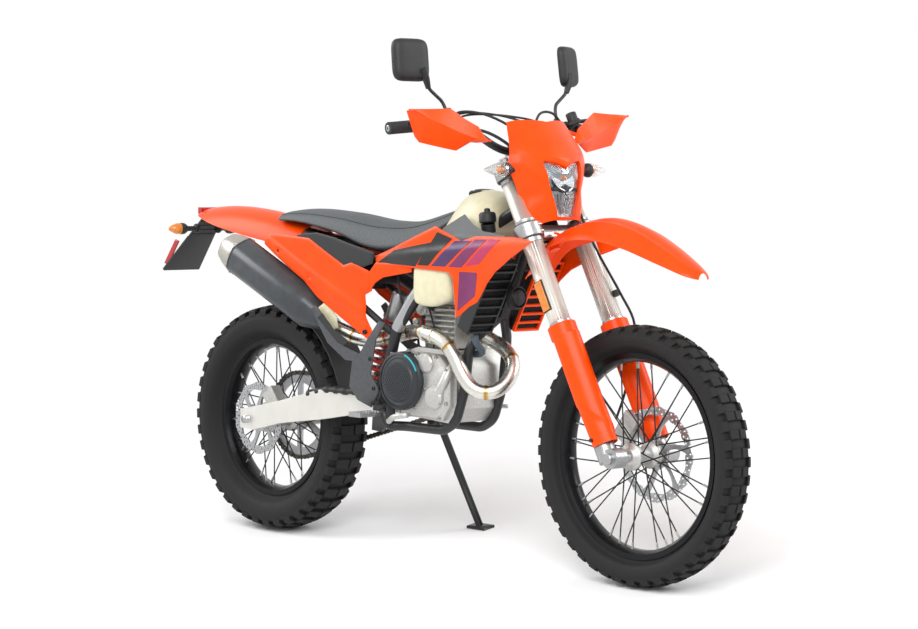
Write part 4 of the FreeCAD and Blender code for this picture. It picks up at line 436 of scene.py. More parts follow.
boxFaces = [[3, 2, 1, 0], [4, 5, 6, 7], [0, 1, 5, 4], [1, 2, 6, 5], [2, 3, 7, 6], [3, 0, 4, 7]]


# A block on its foot: the top is taper times the foot.
def boxBase(length, width, height, taper=1.0):
    x = np.array([-1, 1, 1, -1]) * length / 2
    y = np.array([-1, -1, 1, 1]) * width / 2
    foot = np.stack([x, y, np.zeros(4)], axis=1)
    top = np.stack([x * taper, y * taper, np.full(4, height)], axis=1)
    return np.vstack([foot, top]), boxFaces


# Bevel and subdivide, in metres, the same in view and render.
def finishEdges(piece, bevel=0.0, segments=2, subdivide=0):
    if bevel:
        edge = piece.modifiers.new("Edge", "BEVEL")
        edge.width, edge.segments, edge.limit_method = bevel, segments, "ANGLE"
        edge.angle_limit = math.radians(35)
    if subdivide:
        soft = piece.modifiers.new("Soft", "SUBSURF")
        soft.levels = soft.render_levels = subdivide
    return piece


# A CAD node whose shape is right: the same mesh merged, smooth and in a real finish.
def dress(node, material, sharp=32):
    mesh = frame["nodes"][node].data.copy()
    mergeSmooth(mesh, sharp, False)
    mesh.materials.clear()
    mesh.materials.append(material)
    mesh.polygons.foreach_set("material_index", np.zeros(len(mesh.polygons), np.int32))
    return standPiece(node + "_surface", mesh, node, True)


# Camera, floor and light

view = {"place": (6333.77, -5400.38, 1147.83), "yaw": 2.370163, "pitch": -0.0583828,
        "roll": 0.0125147, "focalPixels": 2718.35, "photoWidth": 918, "sensor": 36.0}


# The photograph's camera, turned with the bike so that the bike stands in it as it did.
def placeCamera():
    yaw, pitch, roll = view["yaw"], view["pitch"], view["roll"]
    look = np.array([math.cos(pitch) * math.cos(yaw), math.cos(pitch) * math.sin(yaw),
                     math.sin(pitch)])
    right = unit(np.cross(look, [0, 0, 1]))
    above = np.cross(right, look)
    right, above = (math.cos(roll) * right + math.sin(roll) * above,
                    math.cos(roll) * above - math.sin(roll) * right)
    axes = np.array([right, above, -look]) @ bikeAxes
    data = bpy.data.cameras.new("camera")
    data.sensor_width = view["sensor"]
    data.lens = view["focalPixels"] / view["photoWidth"] * view["sensor"]
    data.clip_end = 100
    camera = bpy.data.objects.new("camera", data)
    matrix = Matrix(axes.T.tolist()).to_4x4()
    matrix.translation = onBike(view["place"]).tolist()
    camera.matrix_world = matrix
    bpy.context.scene.collection.objects.link(camera)
    bpy.context.scene.camera = camera


placeCamera()


# A wide pale floor; what the camera sees past its edge is the same white.
def placeFloor():
    size = 30
    mesh = bpy.data.meshes.new("floor")
    mesh.from_pydata([(-size, -size, 0), (size, -size, 0), (size, size, 0), (-size, size, 0)], [],
                     [(0, 1, 2, 3)])
    material, tree, shader = startMaterial("painted studio floor")
    place = add(tree, "TexCoord")
    noise = add(tree, "TexNoise", [("Vector", place, "Object")], Scale=3.0, Detail=3.0)
    tint = ramp(tree, noise, "Fac", [(0.3, "#F3F3F3"), (0.7, "#F7F7F7")])
    tree.links.new(shader.inputs["Base Color"], tint.outputs["Color"])
    shader.inputs["Roughness"].default_value = 0.8
    far = add(tree, "VectorMath", [("Vector", place, "Object")], operation="LENGTH")
    edge = add(tree, "MapRange", [("Value", far, "Value")], interpolation_type="SMOOTHSTEP")
    edge.inputs["From Min"].default_value, edge.inputs["From Max"].default_value = 1.3, 2.6
    rays = add(tree, "LightPath")
    seen = add(tree, "Math", [(0, rays, "Is Camera Ray"), (1, rays, "Is Glossy Ray")],
               operation="MAXIMUM")
    share = add(tree, "Math", [(0, seen, "Value"), (1, edge, "Result")], operation="MULTIPLY")
    white = add(tree, "Emission", Color=(1, 1, 1, 1), Strength=1.0)
    mix = add(tree, "MixShader", [("Fac", share, "Value"), (1, shader, "BSDF"),
                                  (2, white, "Emission")])
    output = next(node for node in tree.nodes if node.type == "OUTPUT_MATERIAL")
    tree.links.new(output.inputs["Surface"], mix.outputs["Shader"])
    mesh.materials.append(material)
    floor = bpy.data.objects.new("floor", mesh)
    bpy.context.scene.collection.objects.link(floor)


placeFloor()
light = {"world": 0.62, "keyPower": 240, "fillPower": 110, "backPower": 120}


# An even white sky that lights less than it shows, and three soft panels aimed at the bike.
def placeLights():
    world = bpy.data.worlds.new("studio")
    world.use_nodes = True
    bpy.context.scene.world = world
    tree = world.node_tree
    tree.nodes.clear()
    rays = add(tree, "LightPath")
    seen = add(tree, "Math", [(0, rays, "Is Camera Ray"), (1, rays, "Is Glossy Ray")],
               operation="MAXIMUM")
    level = add(tree, "MapRange", [("Value", seen, "Value")], To_Min=light["world"], To_Max=1.0)
    sky = add(tree, "Background", [("Strength", level, "Result")], Color=(1, 1, 1, 1))
    add(tree, "OutputWorld", [("Surface", sky, "Background")])
    for name, place, power, size in (("key", (3.4, -3.2, 4.4), light["keyPower"], 3.2),
                                     ("fill", (3.6, 3.4, 2.6), light["fillPower"], 2.6),
                                     ("back", (-3.6, -1.8, 3.4), light["backPower"], 2.6)):
        data = bpy.data.lights.new(name, "AREA")
        data.energy, data.size = power, size
        lamp = bpy.data.objects.new(name, data)
        bpy.context.scene.collection.objects.link(lamp)
        lamp.location = place
        aim = np.array([0, 0, 0.6]) - np.array(place)
        lamp.rotation_euler = Vector(aim).to_track_quat("-Z", "Y").to_euler()


placeLights()
bpy.context.scene.view_settings.view_transform = "Standard"
print("camera, floor and lights ready")

# Shapes carried by stations along the bike


# Cubic Hermite curve through stations: each keeps its value and the slope of its neighbours
def smoothOver(place, xs, ys):
    xs, ys = np.asarray(xs, float), np.asarray(ys, float)
    slope = np.gradient(ys, xs)
    k = np.clip(np.searchsorted(xs, place) - 1, 0, len(xs) - 2)
    step = xs[k + 1] - xs[k]
    t = np.clip((place - xs[k]) / step, 0, 1)
    return ((2 * t ** 3 - 3 * t ** 2 + 1) * ys[k] + (t ** 3 - 2 * t ** 2 + t) * step * slope[k]
            + (3 * t ** 2 - 2 * t ** 3) * ys[k + 1] + (t ** 3 - t ** 2) * step * slope[k + 1])


# Superellipse rings square to the bike: |y/w|^p + |z/h|^p = 1, w between its low and high value,
# the top lifted by crown (1 - (y/w)^2), both ends drawn in along a quarter circle
def roundedForm(build, stations, power=5.0, sides=44, rows=50, endRound=20.0, middle=0.0):
    table = np.asarray(stations, float)
    start, end = table[0, 0], table[-1, 0]
    turn = endRound * (1 - np.cos(np.linspace(0, np.pi / 2, 8)))
    x = np.concatenate([start + turn, np.linspace(start + endRound, end - endRound, rows)[1:-1],
                        (end - turn)[::-1]])
    halfLow, halfHigh, low, high, crown = (smoothOver(x, table[:, 0], table[:, k])[:, None]
                                           for k in range(1, 6))
    edge = np.clip(np.minimum(x - start, end - x) / endRound, 0, 1)[:, None]
    inset = endRound * (1 - np.sqrt(1 - (1 - edge) ** 2))
    angle = np.linspace(0, 2 * np.pi, sides, endpoint=False)[None]
    side = np.sign(np.cos(angle)) * np.abs(np.cos(angle)) ** (2 / power)
    up = np.sign(np.sin(angle)) * np.abs(np.sin(angle)) ** (2 / power)
    width = halfLow + (halfHigh - halfLow) * (up + 1) / 2 - inset
    z = ((low + high) / 2 + ((high - low) / 2 - inset) * up
         + crown * (1 - side ** 2) * np.maximum(up, 0) * np.sqrt(edge + 0.05))
    points = np.stack(np.broadcast_arrays(x[:, None], middle + width * side, z), axis=-1)
    build.grid(points, caps=True)
    return points


# How far each point of a sheet lies from its nearest rim, along the sheet's own lines
def rimDistance(flat):
    reach = []
    for axis in (0, 1):
        steps = np.linalg.norm(np.diff(flat, axis=axis), axis=-1)
        run = np.cumsum(steps, axis=axis)
        zero = np.zeros_like(np.take(run, [0], axis=axis))
        run = np.concatenate([zero, run], axis=axis)
        reach += [run, np.take(run, [-1], axis=axis) - run]
    return np.minimum.reduce(reach)


# A strip between matched lower and upper corners, its rows closer together at the rims
def stripPlaces(pairs, fine=4, rows=14):
    pairs = np.asarray(pairs, float)
    k = np.arange(len(pairs))
    t = np.linspace(0, len(pairs) - 1, (len(pairs) - 1) * fine + 1)
    low, high = (np.stack([np.interp(t, k, pairs[:, end, i]) for i in (0, 1)], axis=-1)
                 for end in (0, 1))
    v = (0.5 - 0.5 * np.cos(np.linspace(0, np.pi, rows)))[None, :, None]
    return low[:, None] + (high - low)[:, None] * v


# Coons patch: both pairs of corner lines blended, less the four corners counted twice
def patchPlaces(bottom, top, left, right, fine=4):
    lines = []
    for line in (bottom, top, left, right):
        line = np.asarray(line, float)
        t = np.linspace(0, len(line) - 1, (len(line) - 1) * fine + 1)
        lines.append(np.stack([np.interp(t, np.arange(len(line)), line[:, i])
                               for i in range(line.shape[1])], axis=-1))
    b, t, l, r = lines
    u = np.linspace(0, 1, len(b))[:, None, None]
    v = np.linspace(0, 1, len(l))[None, :, None]
    return ((1 - v) * b[:, None] + v * t[:, None] + (1 - u) * l[None] + u * r[None]
            - (1 - u) * (1 - v) * b[0] - u * (1 - v) * b[-1] - (1 - u) * v * t[0] - u * v * t[-1])


# A wall: the sheet and the same sheet moved in along its normals, with the rims joined
def shell(build, outer, thickness, outward, closedRows=False):
    padded = np.concatenate([outer[-1:], outer, outer[:1]]) if closedRows else outer
    along = np.gradient(padded, axis=0)
    along = along[1:-1] if closedRows else along
    normal = np.cross(along, np.gradient(outer, axis=1))
    size = np.linalg.norm(normal, axis=-1, keepdims=True)
    normal = np.where(size > 1e-6, normal / np.maximum(size, 1e-6), np.asarray(outward, float))
    facing = np.sign((normal * outward).sum(axis=-1).mean())
    inner = outer - normal * thickness * (facing if facing else 1)
    rows, columns = outer.shape[:2]
    ring = np.concatenate([outer, inner[:, ::-1]], axis=1)
    faces = gridFaces(rows, 2 * columns, closedRows, True).tolist()
    if not closedRows:
        j = np.arange(columns - 1)
        for base in (0, (rows - 1) * 2 * columns):
            faces += np.stack([base + j, base + j + 1, base + 2 * columns - 2 - j,
                               base + 2 * columns - 1 - j], axis=1).tolist()
    build.take(ring, faces)
    return build


# Rims of a right-hand sheet bent in: it drops by tuck exp(-distance / reach)
def tucked(grid, flat, tuck, reach):
    drop = tuck * np.exp(-rimDistance(flat) / reach)
    return grid - drop[..., None] * rightWay


# Shrouds: one moulded wing each side, a long crease from the seat to its tip, printed film on it
shroud = {"wall": 3.6, "crease": 5.0, "creaseWidth": 20.0, "tuck": 3.5, "filmLift": 0.9,
          "plan": ((0.34, 0.86), (0.40, 0.90), (0.47, 1.02), (0.55, 1.10), (0.63, 1.15),
                   (0.70, 1.20), (0.78, 1.38), (0.87, 1.68)),
          "strip": (((552, 833), (552, 857)), ((690, 829.5), (690, 903)),
                    ((825, 825), (825, 950)), ((883, 822.5), (880, 931)),
                    ((904, 802.5), (905, 923)), ((911, 745), (925, 916)),
                    ((916, 697), (937, 912)), ((999, 743), (999, 927)),
                    ((1038, 797), (1060, 928)), ((1075, 830), (1110, 929)),
                    ((1152, 870), (1179, 930)), ((1280, 921), (1282, 922)))}


# Side view places put on the shroud: outward by its plan curve, plus the crease's bell shape
def onShroud(flat):
    x, z = flat[..., 0], flat[..., 1]
    plan = np.array(shroud["plan"]) * bodyScale[:2]
    outward = smoothOver(x, plan[:, 0], plan[:, 1])
    line = 846 + (x - 552) * 0.094
    outward = outward + shroud["crease"] * np.exp(-((z - line) / shroud["creaseWidth"]) ** 2)
    scoop = np.clip((x - 905) / 60, 0, 1) * np.clip((line - 14 - z) / 60, 0, 1)
    return np.stack([x, -(outward - 7 * scoop), z], axis=-1)


flat = stripPlaces(shroud["strip"], 5, 22)
wing = tucked(onShroud(flat), flat, shroud["tuck"], 4.0)
build = Build()
shell(build, wing, shroud["wall"], rightWay).mirror()
build.put("shrouds_wings", orangePlastic, "shrouds", replaces=True)


# A four-cornered patch of thin film that lies on the shroud's own skin
def film(name, corners, material):
    a, b, c, d = (np.array(corner, float) for corner in corners)
    u = np.linspace(0, 1, 28)[:, None, None]
    v = np.linspace(0, 1, 12)[None, :, None]
    flat = (1 - u) * (1 - v) * a + u * (1 - v) * b + u * v * c + (1 - u) * v * d
    lift = shroud["filmLift"]
    shell(Build(), onShroud(flat) + rightWay * lift, lift * 1.6, rightWay).mirror().put(
        name, material, "shrouds", sharp=60)


filmPatches = (
    ("film_black_rear", ((566, 838), (742, 834), (818, 905), (640, 876)), filmBlack),
    ("film_black_top", ((752, 838), (800, 838), (902, 917), (838, 934)), filmBlack),
    ("film_violet", ((812, 838), (872, 838), (985, 914), (914, 912)), filmViolet),
    ("film_plum", ((886, 838), (938, 838), (1050, 920), (998, 918)), filmPlum),
    ("film_magenta", ((952, 842), (1010, 850), (1110, 921), (1062, 921)), filmMagenta),
    ("film_dark_low", ((924, 716), (992, 762), (1000, 826), (930, 826)), filmPlum))
for name, corners, material in filmPatches:
    film(name, corners, material)

# The dark grey infill between shroud and tank
build = Build()
flat = stripPlaces((((840, 940), (842, 946)), ((880, 926), (905, 985)), ((935, 908), (950, 962)),
                    ((1000, 921), (1012, 941)), ((1120, 925), (1124, 932))), 5, 10)
infill = onShroud(flat)
infill[..., 1] += 5 + np.clip((flat[..., 1] - 922) * 0.62, 0, 60)
shell(build, infill, 3, rightWay).mirror()
build.put("shrouds_infill", greyGuard, "shrouds")

# Side panels: patch between four corner lines, a long crease and two moulded dimples
sidePanel = {"wall": 3.5, "tuck": 3.0, "crease": 4.0,
             "plan": ((0.02, 0.86), (0.12, 0.94), (0.22, 0.98), (0.32, 0.985), (0.38, 0.97)),
             "bottom": ((53.5, 875), (100, 847), (199, 795), (245, 773), (305, 728), (415, 671),
                        (525, 617), (546, 612)),
             "top": ((56.5, 892), (74, 908), (190, 904), (235, 902), (268, 900), (425, 825),
                     (458, 835), (544, 809)),
             "left": ((53.5, 875), (54, 878), (54.6, 882), (55.2, 885), (55.8, 888), (56.5, 892)),
             "right": ((546, 612), (552, 633), (525, 683), (517, 742), (544, 754), (544, 809)),
             "dimples": ((124, 858, 9), (275, 786, 10))}


# Outward by its plan curve and a crease 1 - fold^2, less a cone at each dimple
def onPanel(flat):
    x, z = flat[..., 0], flat[..., 1]
    plan = np.array(sidePanel["plan"]) * bodyScale[:2]
    outward = smoothOver(x, plan[:, 0], plan[:, 1])
    line = 884 - (x - 60) * 0.44
    fold = np.clip((z - line) / 26, -1, 1)
    outward = outward + sidePanel["crease"] * (1 - fold ** 2)
    for cx, cz, size in sidePanel["dimples"]:
        far = np.hypot(x - cx, z - cz) / size
        outward = outward - 5 * np.clip(1.25 - far, 0, 1)
    return np.stack([x, -outward, z], axis=-1)


flat = patchPlaces(*(sidePanel[side] for side in ("bottom", "top", "left", "right")), fine=9)
panel = tucked(onPanel(flat), flat, sidePanel["tuck"], 4.0)
build = Build()
shell(build, panel, sidePanel["wall"], rightWay).mirror()
build.put("side_panels_skins", orangePlastic, "side_panels", replaces=True)

# Dark band under the seat and the panel's arm that runs forward below the shroud
strips = (
    ("side_panels_bands", blackPlastic, 8, 2.5,
     (((186, 896), (214, 909)), ((240, 885), (300, 917)), ((320, 862), (380, 905)),
      ((425, 822), (440, 891)), ((505, 822), (500, 878)), ((546, 834), (552, 866)))),
    ("side_panels_arms", orangePlastic, 6, 1.5,
     (((539, 756), (536, 812)), ((560, 780), (560, 838)), ((592, 796), (592, 838)),
      ((650, 806), (650, 838)), ((710, 816), (710, 838)))))
for name, material, fine, sink, pairs in strips:
    flat = stripPlaces(pairs, fine)
    place = tucked(onPanel(flat) + leftWay * sink, flat, 2, 3.0)
    shell(Build(), place, 3, rightWay).mirror().put(name, material, "side_panels")

# Seat: crowned closed form in gripper vinyl, sides pulled in, a seam along both shoulders
seat = {"fill": 0.8, "power": 4.2, "seam": 1.6,
        "stations": (
            (0.040, 0.62, 0.50, 0.992, 1.012, 0.010), (0.095, 0.68, 0.56, 0.990, 1.018, 0.014),
            (0.230, 0.76, 0.58, 0.958, 1.010, 0.016), (0.350, 0.84, 0.56, 0.912, 0.990, 0.016),
            (0.430, 0.78, 0.48, 0.925, 0.992, 0.016), (0.510, 0.66, 0.42, 0.975, 1.020, 0.018),
            (0.558, 0.56, 0.38, 1.018, 1.044, 0.014))}
build = Build()
points = roundedForm(build, np.array(seat["stations"]) * bodyScale, seat["power"], 48, 90, 16)
cushion = build.put("seat_cushion", seatVinyl, "seat", replaces=True)
finishEdges(cushion, subdivide=1)
seams = Build()
for column in (5, 19):
    tube(seams, points[4:-4, column], seat["seam"], len(points) - 8, 8, smooth=False)
seams.put("seat_seams", blackPlastic, "seat")

# Tank: blown plastic, softly rounded, with a lobe low on each side
tank = {"power": 3.4, "lobePower": 3.2,
        "stations": (
            (0.470, 0.72, 0.58, 0.860, 0.957, 0.004), (0.520, 0.84, 0.60, 0.862, 0.988, 0.006),
            (0.568, 0.90, 0.58, 0.868, 1.072, 0.018), (0.620, 0.90, 0.58, 0.932, 1.086, 0.018),
            (0.668, 0.72, 0.48, 0.985, 1.064, 0.012)),
        "lobe": ((0.480, 0.145, 0.145, 0.765, 0.885, 0), (0.530, 0.18, 0.18, 0.757, 0.900, 0),
                 (0.590, 0.20, 0.20, 0.782, 0.930, 0)), "lobeMiddle": -110.0}
build = Build()
roundedForm(build, np.array(tank["stations"]) * bodyScale, tank["power"], 48, 50, 26)
lobes = Build()
roundedForm(lobes, np.array(tank["lobe"]) * bodyScale, tank["lobePower"], 40, 30, 22,
            tank["lobeMiddle"])
lobes.mirror()
build.put("fuel_tank_shell", tankPlastic, "fuel_tank", replaces=True)
lobes.put("fuel_tank_lobes", tankPlastic, "fuel_tank")

# Cap: turned lid with grips round it
capCentre = onBody(0.590, 0, 1.085)
build = Build()
turned(build, ((0, 30), (2, 40), (14, 42), (17, 38), (17, 30), (20, 27), (22, 12)), capCentre,
       (0, 0, 1), 40)
angle = np.linspace(0, 2 * np.pi, 18, endpoint=False)
ring = np.stack([np.cos(angle), np.sin(angle), 0 * angle], axis=1)
blocks(build, boxBase(10, 4, 2.5, 0.7), capCentre + ring * 41.5 + [0, 0, 8],
       np.tile([0.0, 0.0, 1.0], (18, 1)), np.cross(ring, [0, 0, 1]), ring)
build.put("fuel_cap_lid", blackPlastic, "fuel_cap", replaces=True)
print("seat, tank and panels ready")

# Front mudguard: arches along a smooth spine, two raised ribs and turned-down edges
mudguard = {"wall": 3.4, "rib": 5.0, "ribAt": 0.54, "tip": 42.0,
            "line": ((-1.13, 1.36, 0.46, 0.16), (-0.97, 1.57, 0.50, 0.22),
                     (-0.76, 1.70, 0.60, 0.34), (-0.56, 1.77, 0.68, 0.45),
                     (-0.30, 1.80, 0.74, 0.55), (-0.04, 1.75, 0.74, 0.55),
                     (0.25, 1.62, 0.66, 0.42), (0.59, 1.42, 0.42, 0.16))}


# y = half v, z = top - drop v^2 + rib exp(-((|v| - ribAt) / 0.1)^2), the tip cut to a half ellipse
def mudguardPlaces():
    line = np.array(mudguard["line"])
    wheel = bike["frontRadius"]
    x = frontHub[0] + wheel * np.linspace(line[0, 0], line[-1, 0], 90)
    xs = frontHub[0] + wheel * line[:, 0]
    top = smoothOver(x, xs, wheel + wheel * line[:, 1])
    half = smoothOver(x, xs, forkHalf * line[:, 2])
    drop = smoothOver(x, xs, forkHalf * line[:, 3])
    left = np.clip((xs[-1] - x) / mudguard["tip"], 0, 1)
    half = half * np.sqrt(1 - (1 - left) ** 2 * 0.8)
    v = np.linspace(-1, 1, 41)[None]
    fade = np.clip((x - xs[0]) / 120, 0, 1) * np.clip((xs[-1] - x) / 160, 0, 1)
    rib = mudguard["rib"] * np.exp(-((np.abs(v) - mudguard["ribAt"]) / 0.09) ** 2) * fade[:, None]
    lip = 3.0 * np.clip(np.abs(v) - 0.93, 0, 1) / 0.07
    z = top[:, None] - drop[:, None] * v ** 2 + rib - lip
    return np.stack(np.broadcast_arrays(x[:, None], half[:, None] * v, z), axis=-1)


build = Build()
shell(build, mudguardPlaces(), mudguard["wall"], (0, 0, 1))
for side in (-1, 1):
    turned(build, ((0, 9), (3, 9), (5, 6)), (1185, side * 24, 936), (0.2, 0, 1), 14)
turned(build, ((-24, 15), (0, 15)), onFork(655, -22), forkUp, 20)
build.put("front_fender_shell", orangePlastic, "front_fender", replaces=True)

# Headlight mask: a bowed shield; rings run from the lamp's opening out to the shield's rim
mask = {"wall": 3.2, "brow": 7.0, "depth": 16.0,
        "stations": ((0.770, 0.012, 0.052, 0.88), (0.800, 0.020, 0.068, 0.88),
                     (0.850, 0.036, 0.096, 0.90), (0.890, 0.050, 0.118, 0.86),
                     (0.930, 0.062, 0.138, 0.96), (1.000, 0.072, 0.142, 1.12),
                     (1.045, 0.076, 0.138, 1.07), (1.137, 0.085, 0.118, 0.83)),
        "opening": ((0.803, 0), (0.804, 20), (0.806, 34), (0.822, 38), (0.834, 41), (0.845, 44),
                    (0.870, 52), (0.900, 60), (0.930, 66), (0.966, 74), (0.976, 70), (0.964, 36),
                    (0.944, 0)),
        "rim": ((0.796, 0), (0.797, 42), (0.797, 74), (0.788, 96), (0.782, 116), (0.850, 120),
                (0.884, 112), (0.930, 128), (0.965, 141), (1.000, 150), (1.137, 112), (1.128, 60),
                (1.116, 0))}


# Ahead of the fork by nose - (nose - side) (y / half)^2, beyond 0.7 of the half width a bevel
def onMask(flat, setBack=0.0):
    up, y = flat[..., 0], flat[..., 1]
    table = np.array(mask["stations"])
    side, nose, half = (smoothOver(up, table[:, 0], table[:, k]) for k in (1, 2, 3))
    share = np.clip(np.abs(y) / (half * 134), 0, 1.1)
    arm = np.clip((0.985 - up) / 0.02, 0, 1)
    ahead = forkLength * (nose - (nose - side) * share ** 2)
    line = 0.950 + 0.00042 * np.abs(y)
    browShare = np.clip((up - line) / 0.012, 0, 1) * np.clip((1.08 - up) / 0.12, 0, 1)
    ahead = ahead + mask["brow"] * browShare
    ahead = ahead - 9 * np.clip((share - 0.88) / 0.12, 0, 1)
    ahead = ahead - 44 * arm * np.clip(share - 0.52 - 1.7 * (up - 0.82), 0, 0.5)
    return (forkBase + forkUp * (forkLength * up)[..., None]
            + forkAhead * (ahead - setBack)[..., None] + leftWay * y[..., None])


# One place on the mask, set back from its face
def onMaskSpot(up, y, setBack):
    return onMask(np.array([[up, y]]), setBack)[0]


# Half an outline mirrored into a closed line, each run cut in equal steps
def closedOutline(half, fine):
    half = np.asarray(half, float)
    line = np.vstack([half, half[-2:0:-1] * [1, -1], half[:1]])
    t = np.linspace(0, len(line) - 1, (len(line) - 1) * fine + 1)[:-1]
    return np.stack([np.interp(t, np.arange(len(line)), line[:, i]) for i in (0, 1)], axis=-1)


opening, rim = closedOutline(mask["opening"], 6), closedOutline(mask["rim"], 6)
v = np.linspace(0, 1, 14)[None, :, None]
flat = opening[:, None] * (1 - v) + rim[:, None] * v
face = onMask(flat)
lip = onMask(opening[:, None], mask["depth"])
build = Build()
shell(build, np.concatenate([lip, face], axis=1), mask["wall"], forkAhead, closedRows=True)
for side in (-1, 1):
    tube(build, [onFork(801.66, 30, side * 96), onFork(801.66, 66, side * 96)], 6, 4, 12,
         smooth=False)
build.put("headlight_mask_shell", orangePlastic, "headlight_mask", sharp=13, replaces=True)


# A dish or pane inside the opening: the outline drawn in to its centre, set back by
# back + deep (1 - s^2)
def lampSheet(shrink, back, deep, wall):
    s = np.linspace(1, 0, 12)[None, :, None]
    middle = np.array([0.885, 0])
    flat = middle + (opening[:, None] - middle) * s * shrink
    place = onMask(flat, back + deep * (1 - s[..., 0] ** 2))
    return shell(Build(), place, wall, forkAhead, closedRows=True)


lampSheet(0.985, 7, 0, 2.2).put("headlight_lens", clearPolycarbonate, "headlight", sharp=50,
                                replaces=True)
lampSheet(0.97, 16, 8, 1.5).put("headlight_housing", reflectorChrome, "headlight")
build = Build()
bowl = {"size": 42, "deep": 26}
turned(build, [(-bowl["deep"] * deep, bowl["size"] * wide) for deep, wide in
               ((-1 / 13, 1), (0, 1), (0.45, 0.8), (0.8, 0.5), (1, 0.2))],
       onMaskSpot(0.925, 0, 28), forkAhead, 40)
for y in np.linspace(-22, 22, 5):
    ridge = onMask(np.array([[up, y * (0.6 + (up - 0.82) * 5)]
                             for up in np.linspace(0.822, 0.876, 7)]), 19)
    tube(build, ridge, 3.2, 7, 8, smooth=False)
build.put("headlight_bowls", reflectorChrome, "headlight")
build = Build()
bar = onMask(np.array([[0.889, y] for y in np.linspace(-52, 52, 9)]), 13)
tube(build, bar, 5.5, 9, 10, smooth=False)
turned(build, ((-10, 12), (3, 12), (5, 9), (6, 4)), onMaskSpot(0.889, 0, 13), forkAhead, 24)
build.put("headlight_bar", blackPlastic, "headlight")
turned(Build(), ((-12, 7), (0, 7), (6, 5), (8, 1)), onMaskSpot(0.922, 0, 22), forkAhead, 20).put(
    "headlight_bulb", amberLens, "headlight")
print("front mudguard, mask and lamp ready")

# Tyres: carcass turned round the axle, knobs row by row over it
tyres = {
    "rear_tyre": {"hub": rearHub, "radius": 343.0, "width": 136.0, "bead": 229.0,
                  "rimWidth": 68.0, "lug": 12.0, "rows": 40,
                  "bands": ((-23.0, 41.0, 0.0, 0.56), (23.0, 41.0, 0.0, 0.56),
                            (-55.5, 20.0, 0.5, 0.56), (55.5, 20.0, 0.5, 0.56))},
    "front_tyre": {"hub": frontHub, "radius": 352.0, "width": 98.0, "bead": 267.0,
                   "rimWidth": 52.0, "lug": 9.0, "rows": 44,
                   "bands": ((-16.5, 28.0, 0.0, 0.50), (16.5, 28.0, 0.0, 0.50),
                             (-39.5, 15.0, 0.5, 0.56), (39.5, 15.0, 0.5, 0.56))}}


# Crown radius at a distance across: radius - across^2 / (2 width)
def crown(tyre, across):
    return tyre["radius"] - np.asarray(across, float) ** 2 / (2 * tyre["width"])


# A ring (around, across, radius) turned about the wheel's axle
def roundWheel(hub, angle, side, radius):
    return hub + np.stack(np.broadcast_arrays(radius * np.sin(angle), side, radius * np.cos(angle)),
                          axis=-1)


# The wall's profile from the bead out to the tread's edge, with two raised lines, then the crown;
# each block is a ring of four corners at three depths
def makeTyre(name):
    tyre = tyres[name]
    half, seat, lipRadius = tyre["width"] / 2, tyre["rimWidth"] / 2 - 4.5, tyre["bead"] + 10
    height = tyre["radius"] - tyre["bead"]
    widest = tyre["bead"] + height * 0.52
    outer = half * 0.95
    floor = crown(tyre, outer) - tyre["lug"]
    side = np.array([seat, seat + 3, half * 0.86, half * 0.965, half * 0.99, half * 0.975, outer])
    radius = np.array([lipRadius, lipRadius + 7, widest - height * 0.2, widest - height * 0.06,
                       widest + height * 0.04, widest + height * 0.14, floor])
    t = np.linspace(0, len(side) - 1, 25)
    wall = smoothLine(np.stack([side, radius], axis=1), 25)
    rib = 0.9 * (np.exp(-((t - 1.6) / 0.12) ** 2) + np.exp(-((t - 4.6) / 0.14) ** 2))
    wall[:, 0] += rib
    across = np.linspace(outer, -outer, 15)[1:-1]
    crest = np.stack([across, crown(tyre, across) - tyre["lug"]], axis=1)
    profile = np.vstack([wall, crest, wall[::-1] * [-1, 1],
                         [[-seat, tyre["bead"] + 0.5], [seat, tyre["bead"] + 0.5]]])
    angle = np.linspace(0, 2 * np.pi, 160, endpoint=False)[:, None]
    build = Build()
    build.grid(roundWheel(tyre["hub"], angle, profile[None, :, 0], profile[None, :, 1]),
               closedRows=True)
    rows = np.arange(tyre["rows"])
    for middle, wide, start, share in tyre["bands"]:
        # two rings of corners up the block, the top one 1.3 mm in from the edges
        corner = np.array([(-1, 0), (1, 0), (1, 1), (-1, 1)], float)
        rings = []
        for drop, inset in ((tyre["lug"] + 3, -0.8), (1.6, 0.0), (0.0, 1.5)):
            y = middle + corner[:, 0] * (wide / 2 - inset)
            step = inset / (2 * np.pi * tyre["radius"] / tyre["rows"])
            turn = (start + corner[:, 1] * share
                    + np.where(corner[:, 1] > 0, -step, step)) / tyre["rows"]
            place = (rows[:, None] / tyre["rows"] + turn[None]) * 2 * np.pi
            rings.append(roundWheel(tyre["hub"], place, y[None], (crown(tyre, y) - drop)[None]))
        points = np.stack(rings, axis=1)
        count = points.shape[1] * 4
        base = gridFaces(3, 4, False, True).tolist() + [[3, 2, 1, 0], [8, 9, 10, 11]]
        every = (np.array(base)[None] + (rows * count)[:, None, None]).reshape(-1, 4)
        build.take(points.reshape(-1, 3), every)
    build.put(name + "_rubber", tyreRubber, name, sharp=28, replaces=True)


for name in tyres:
    makeTyre(name)

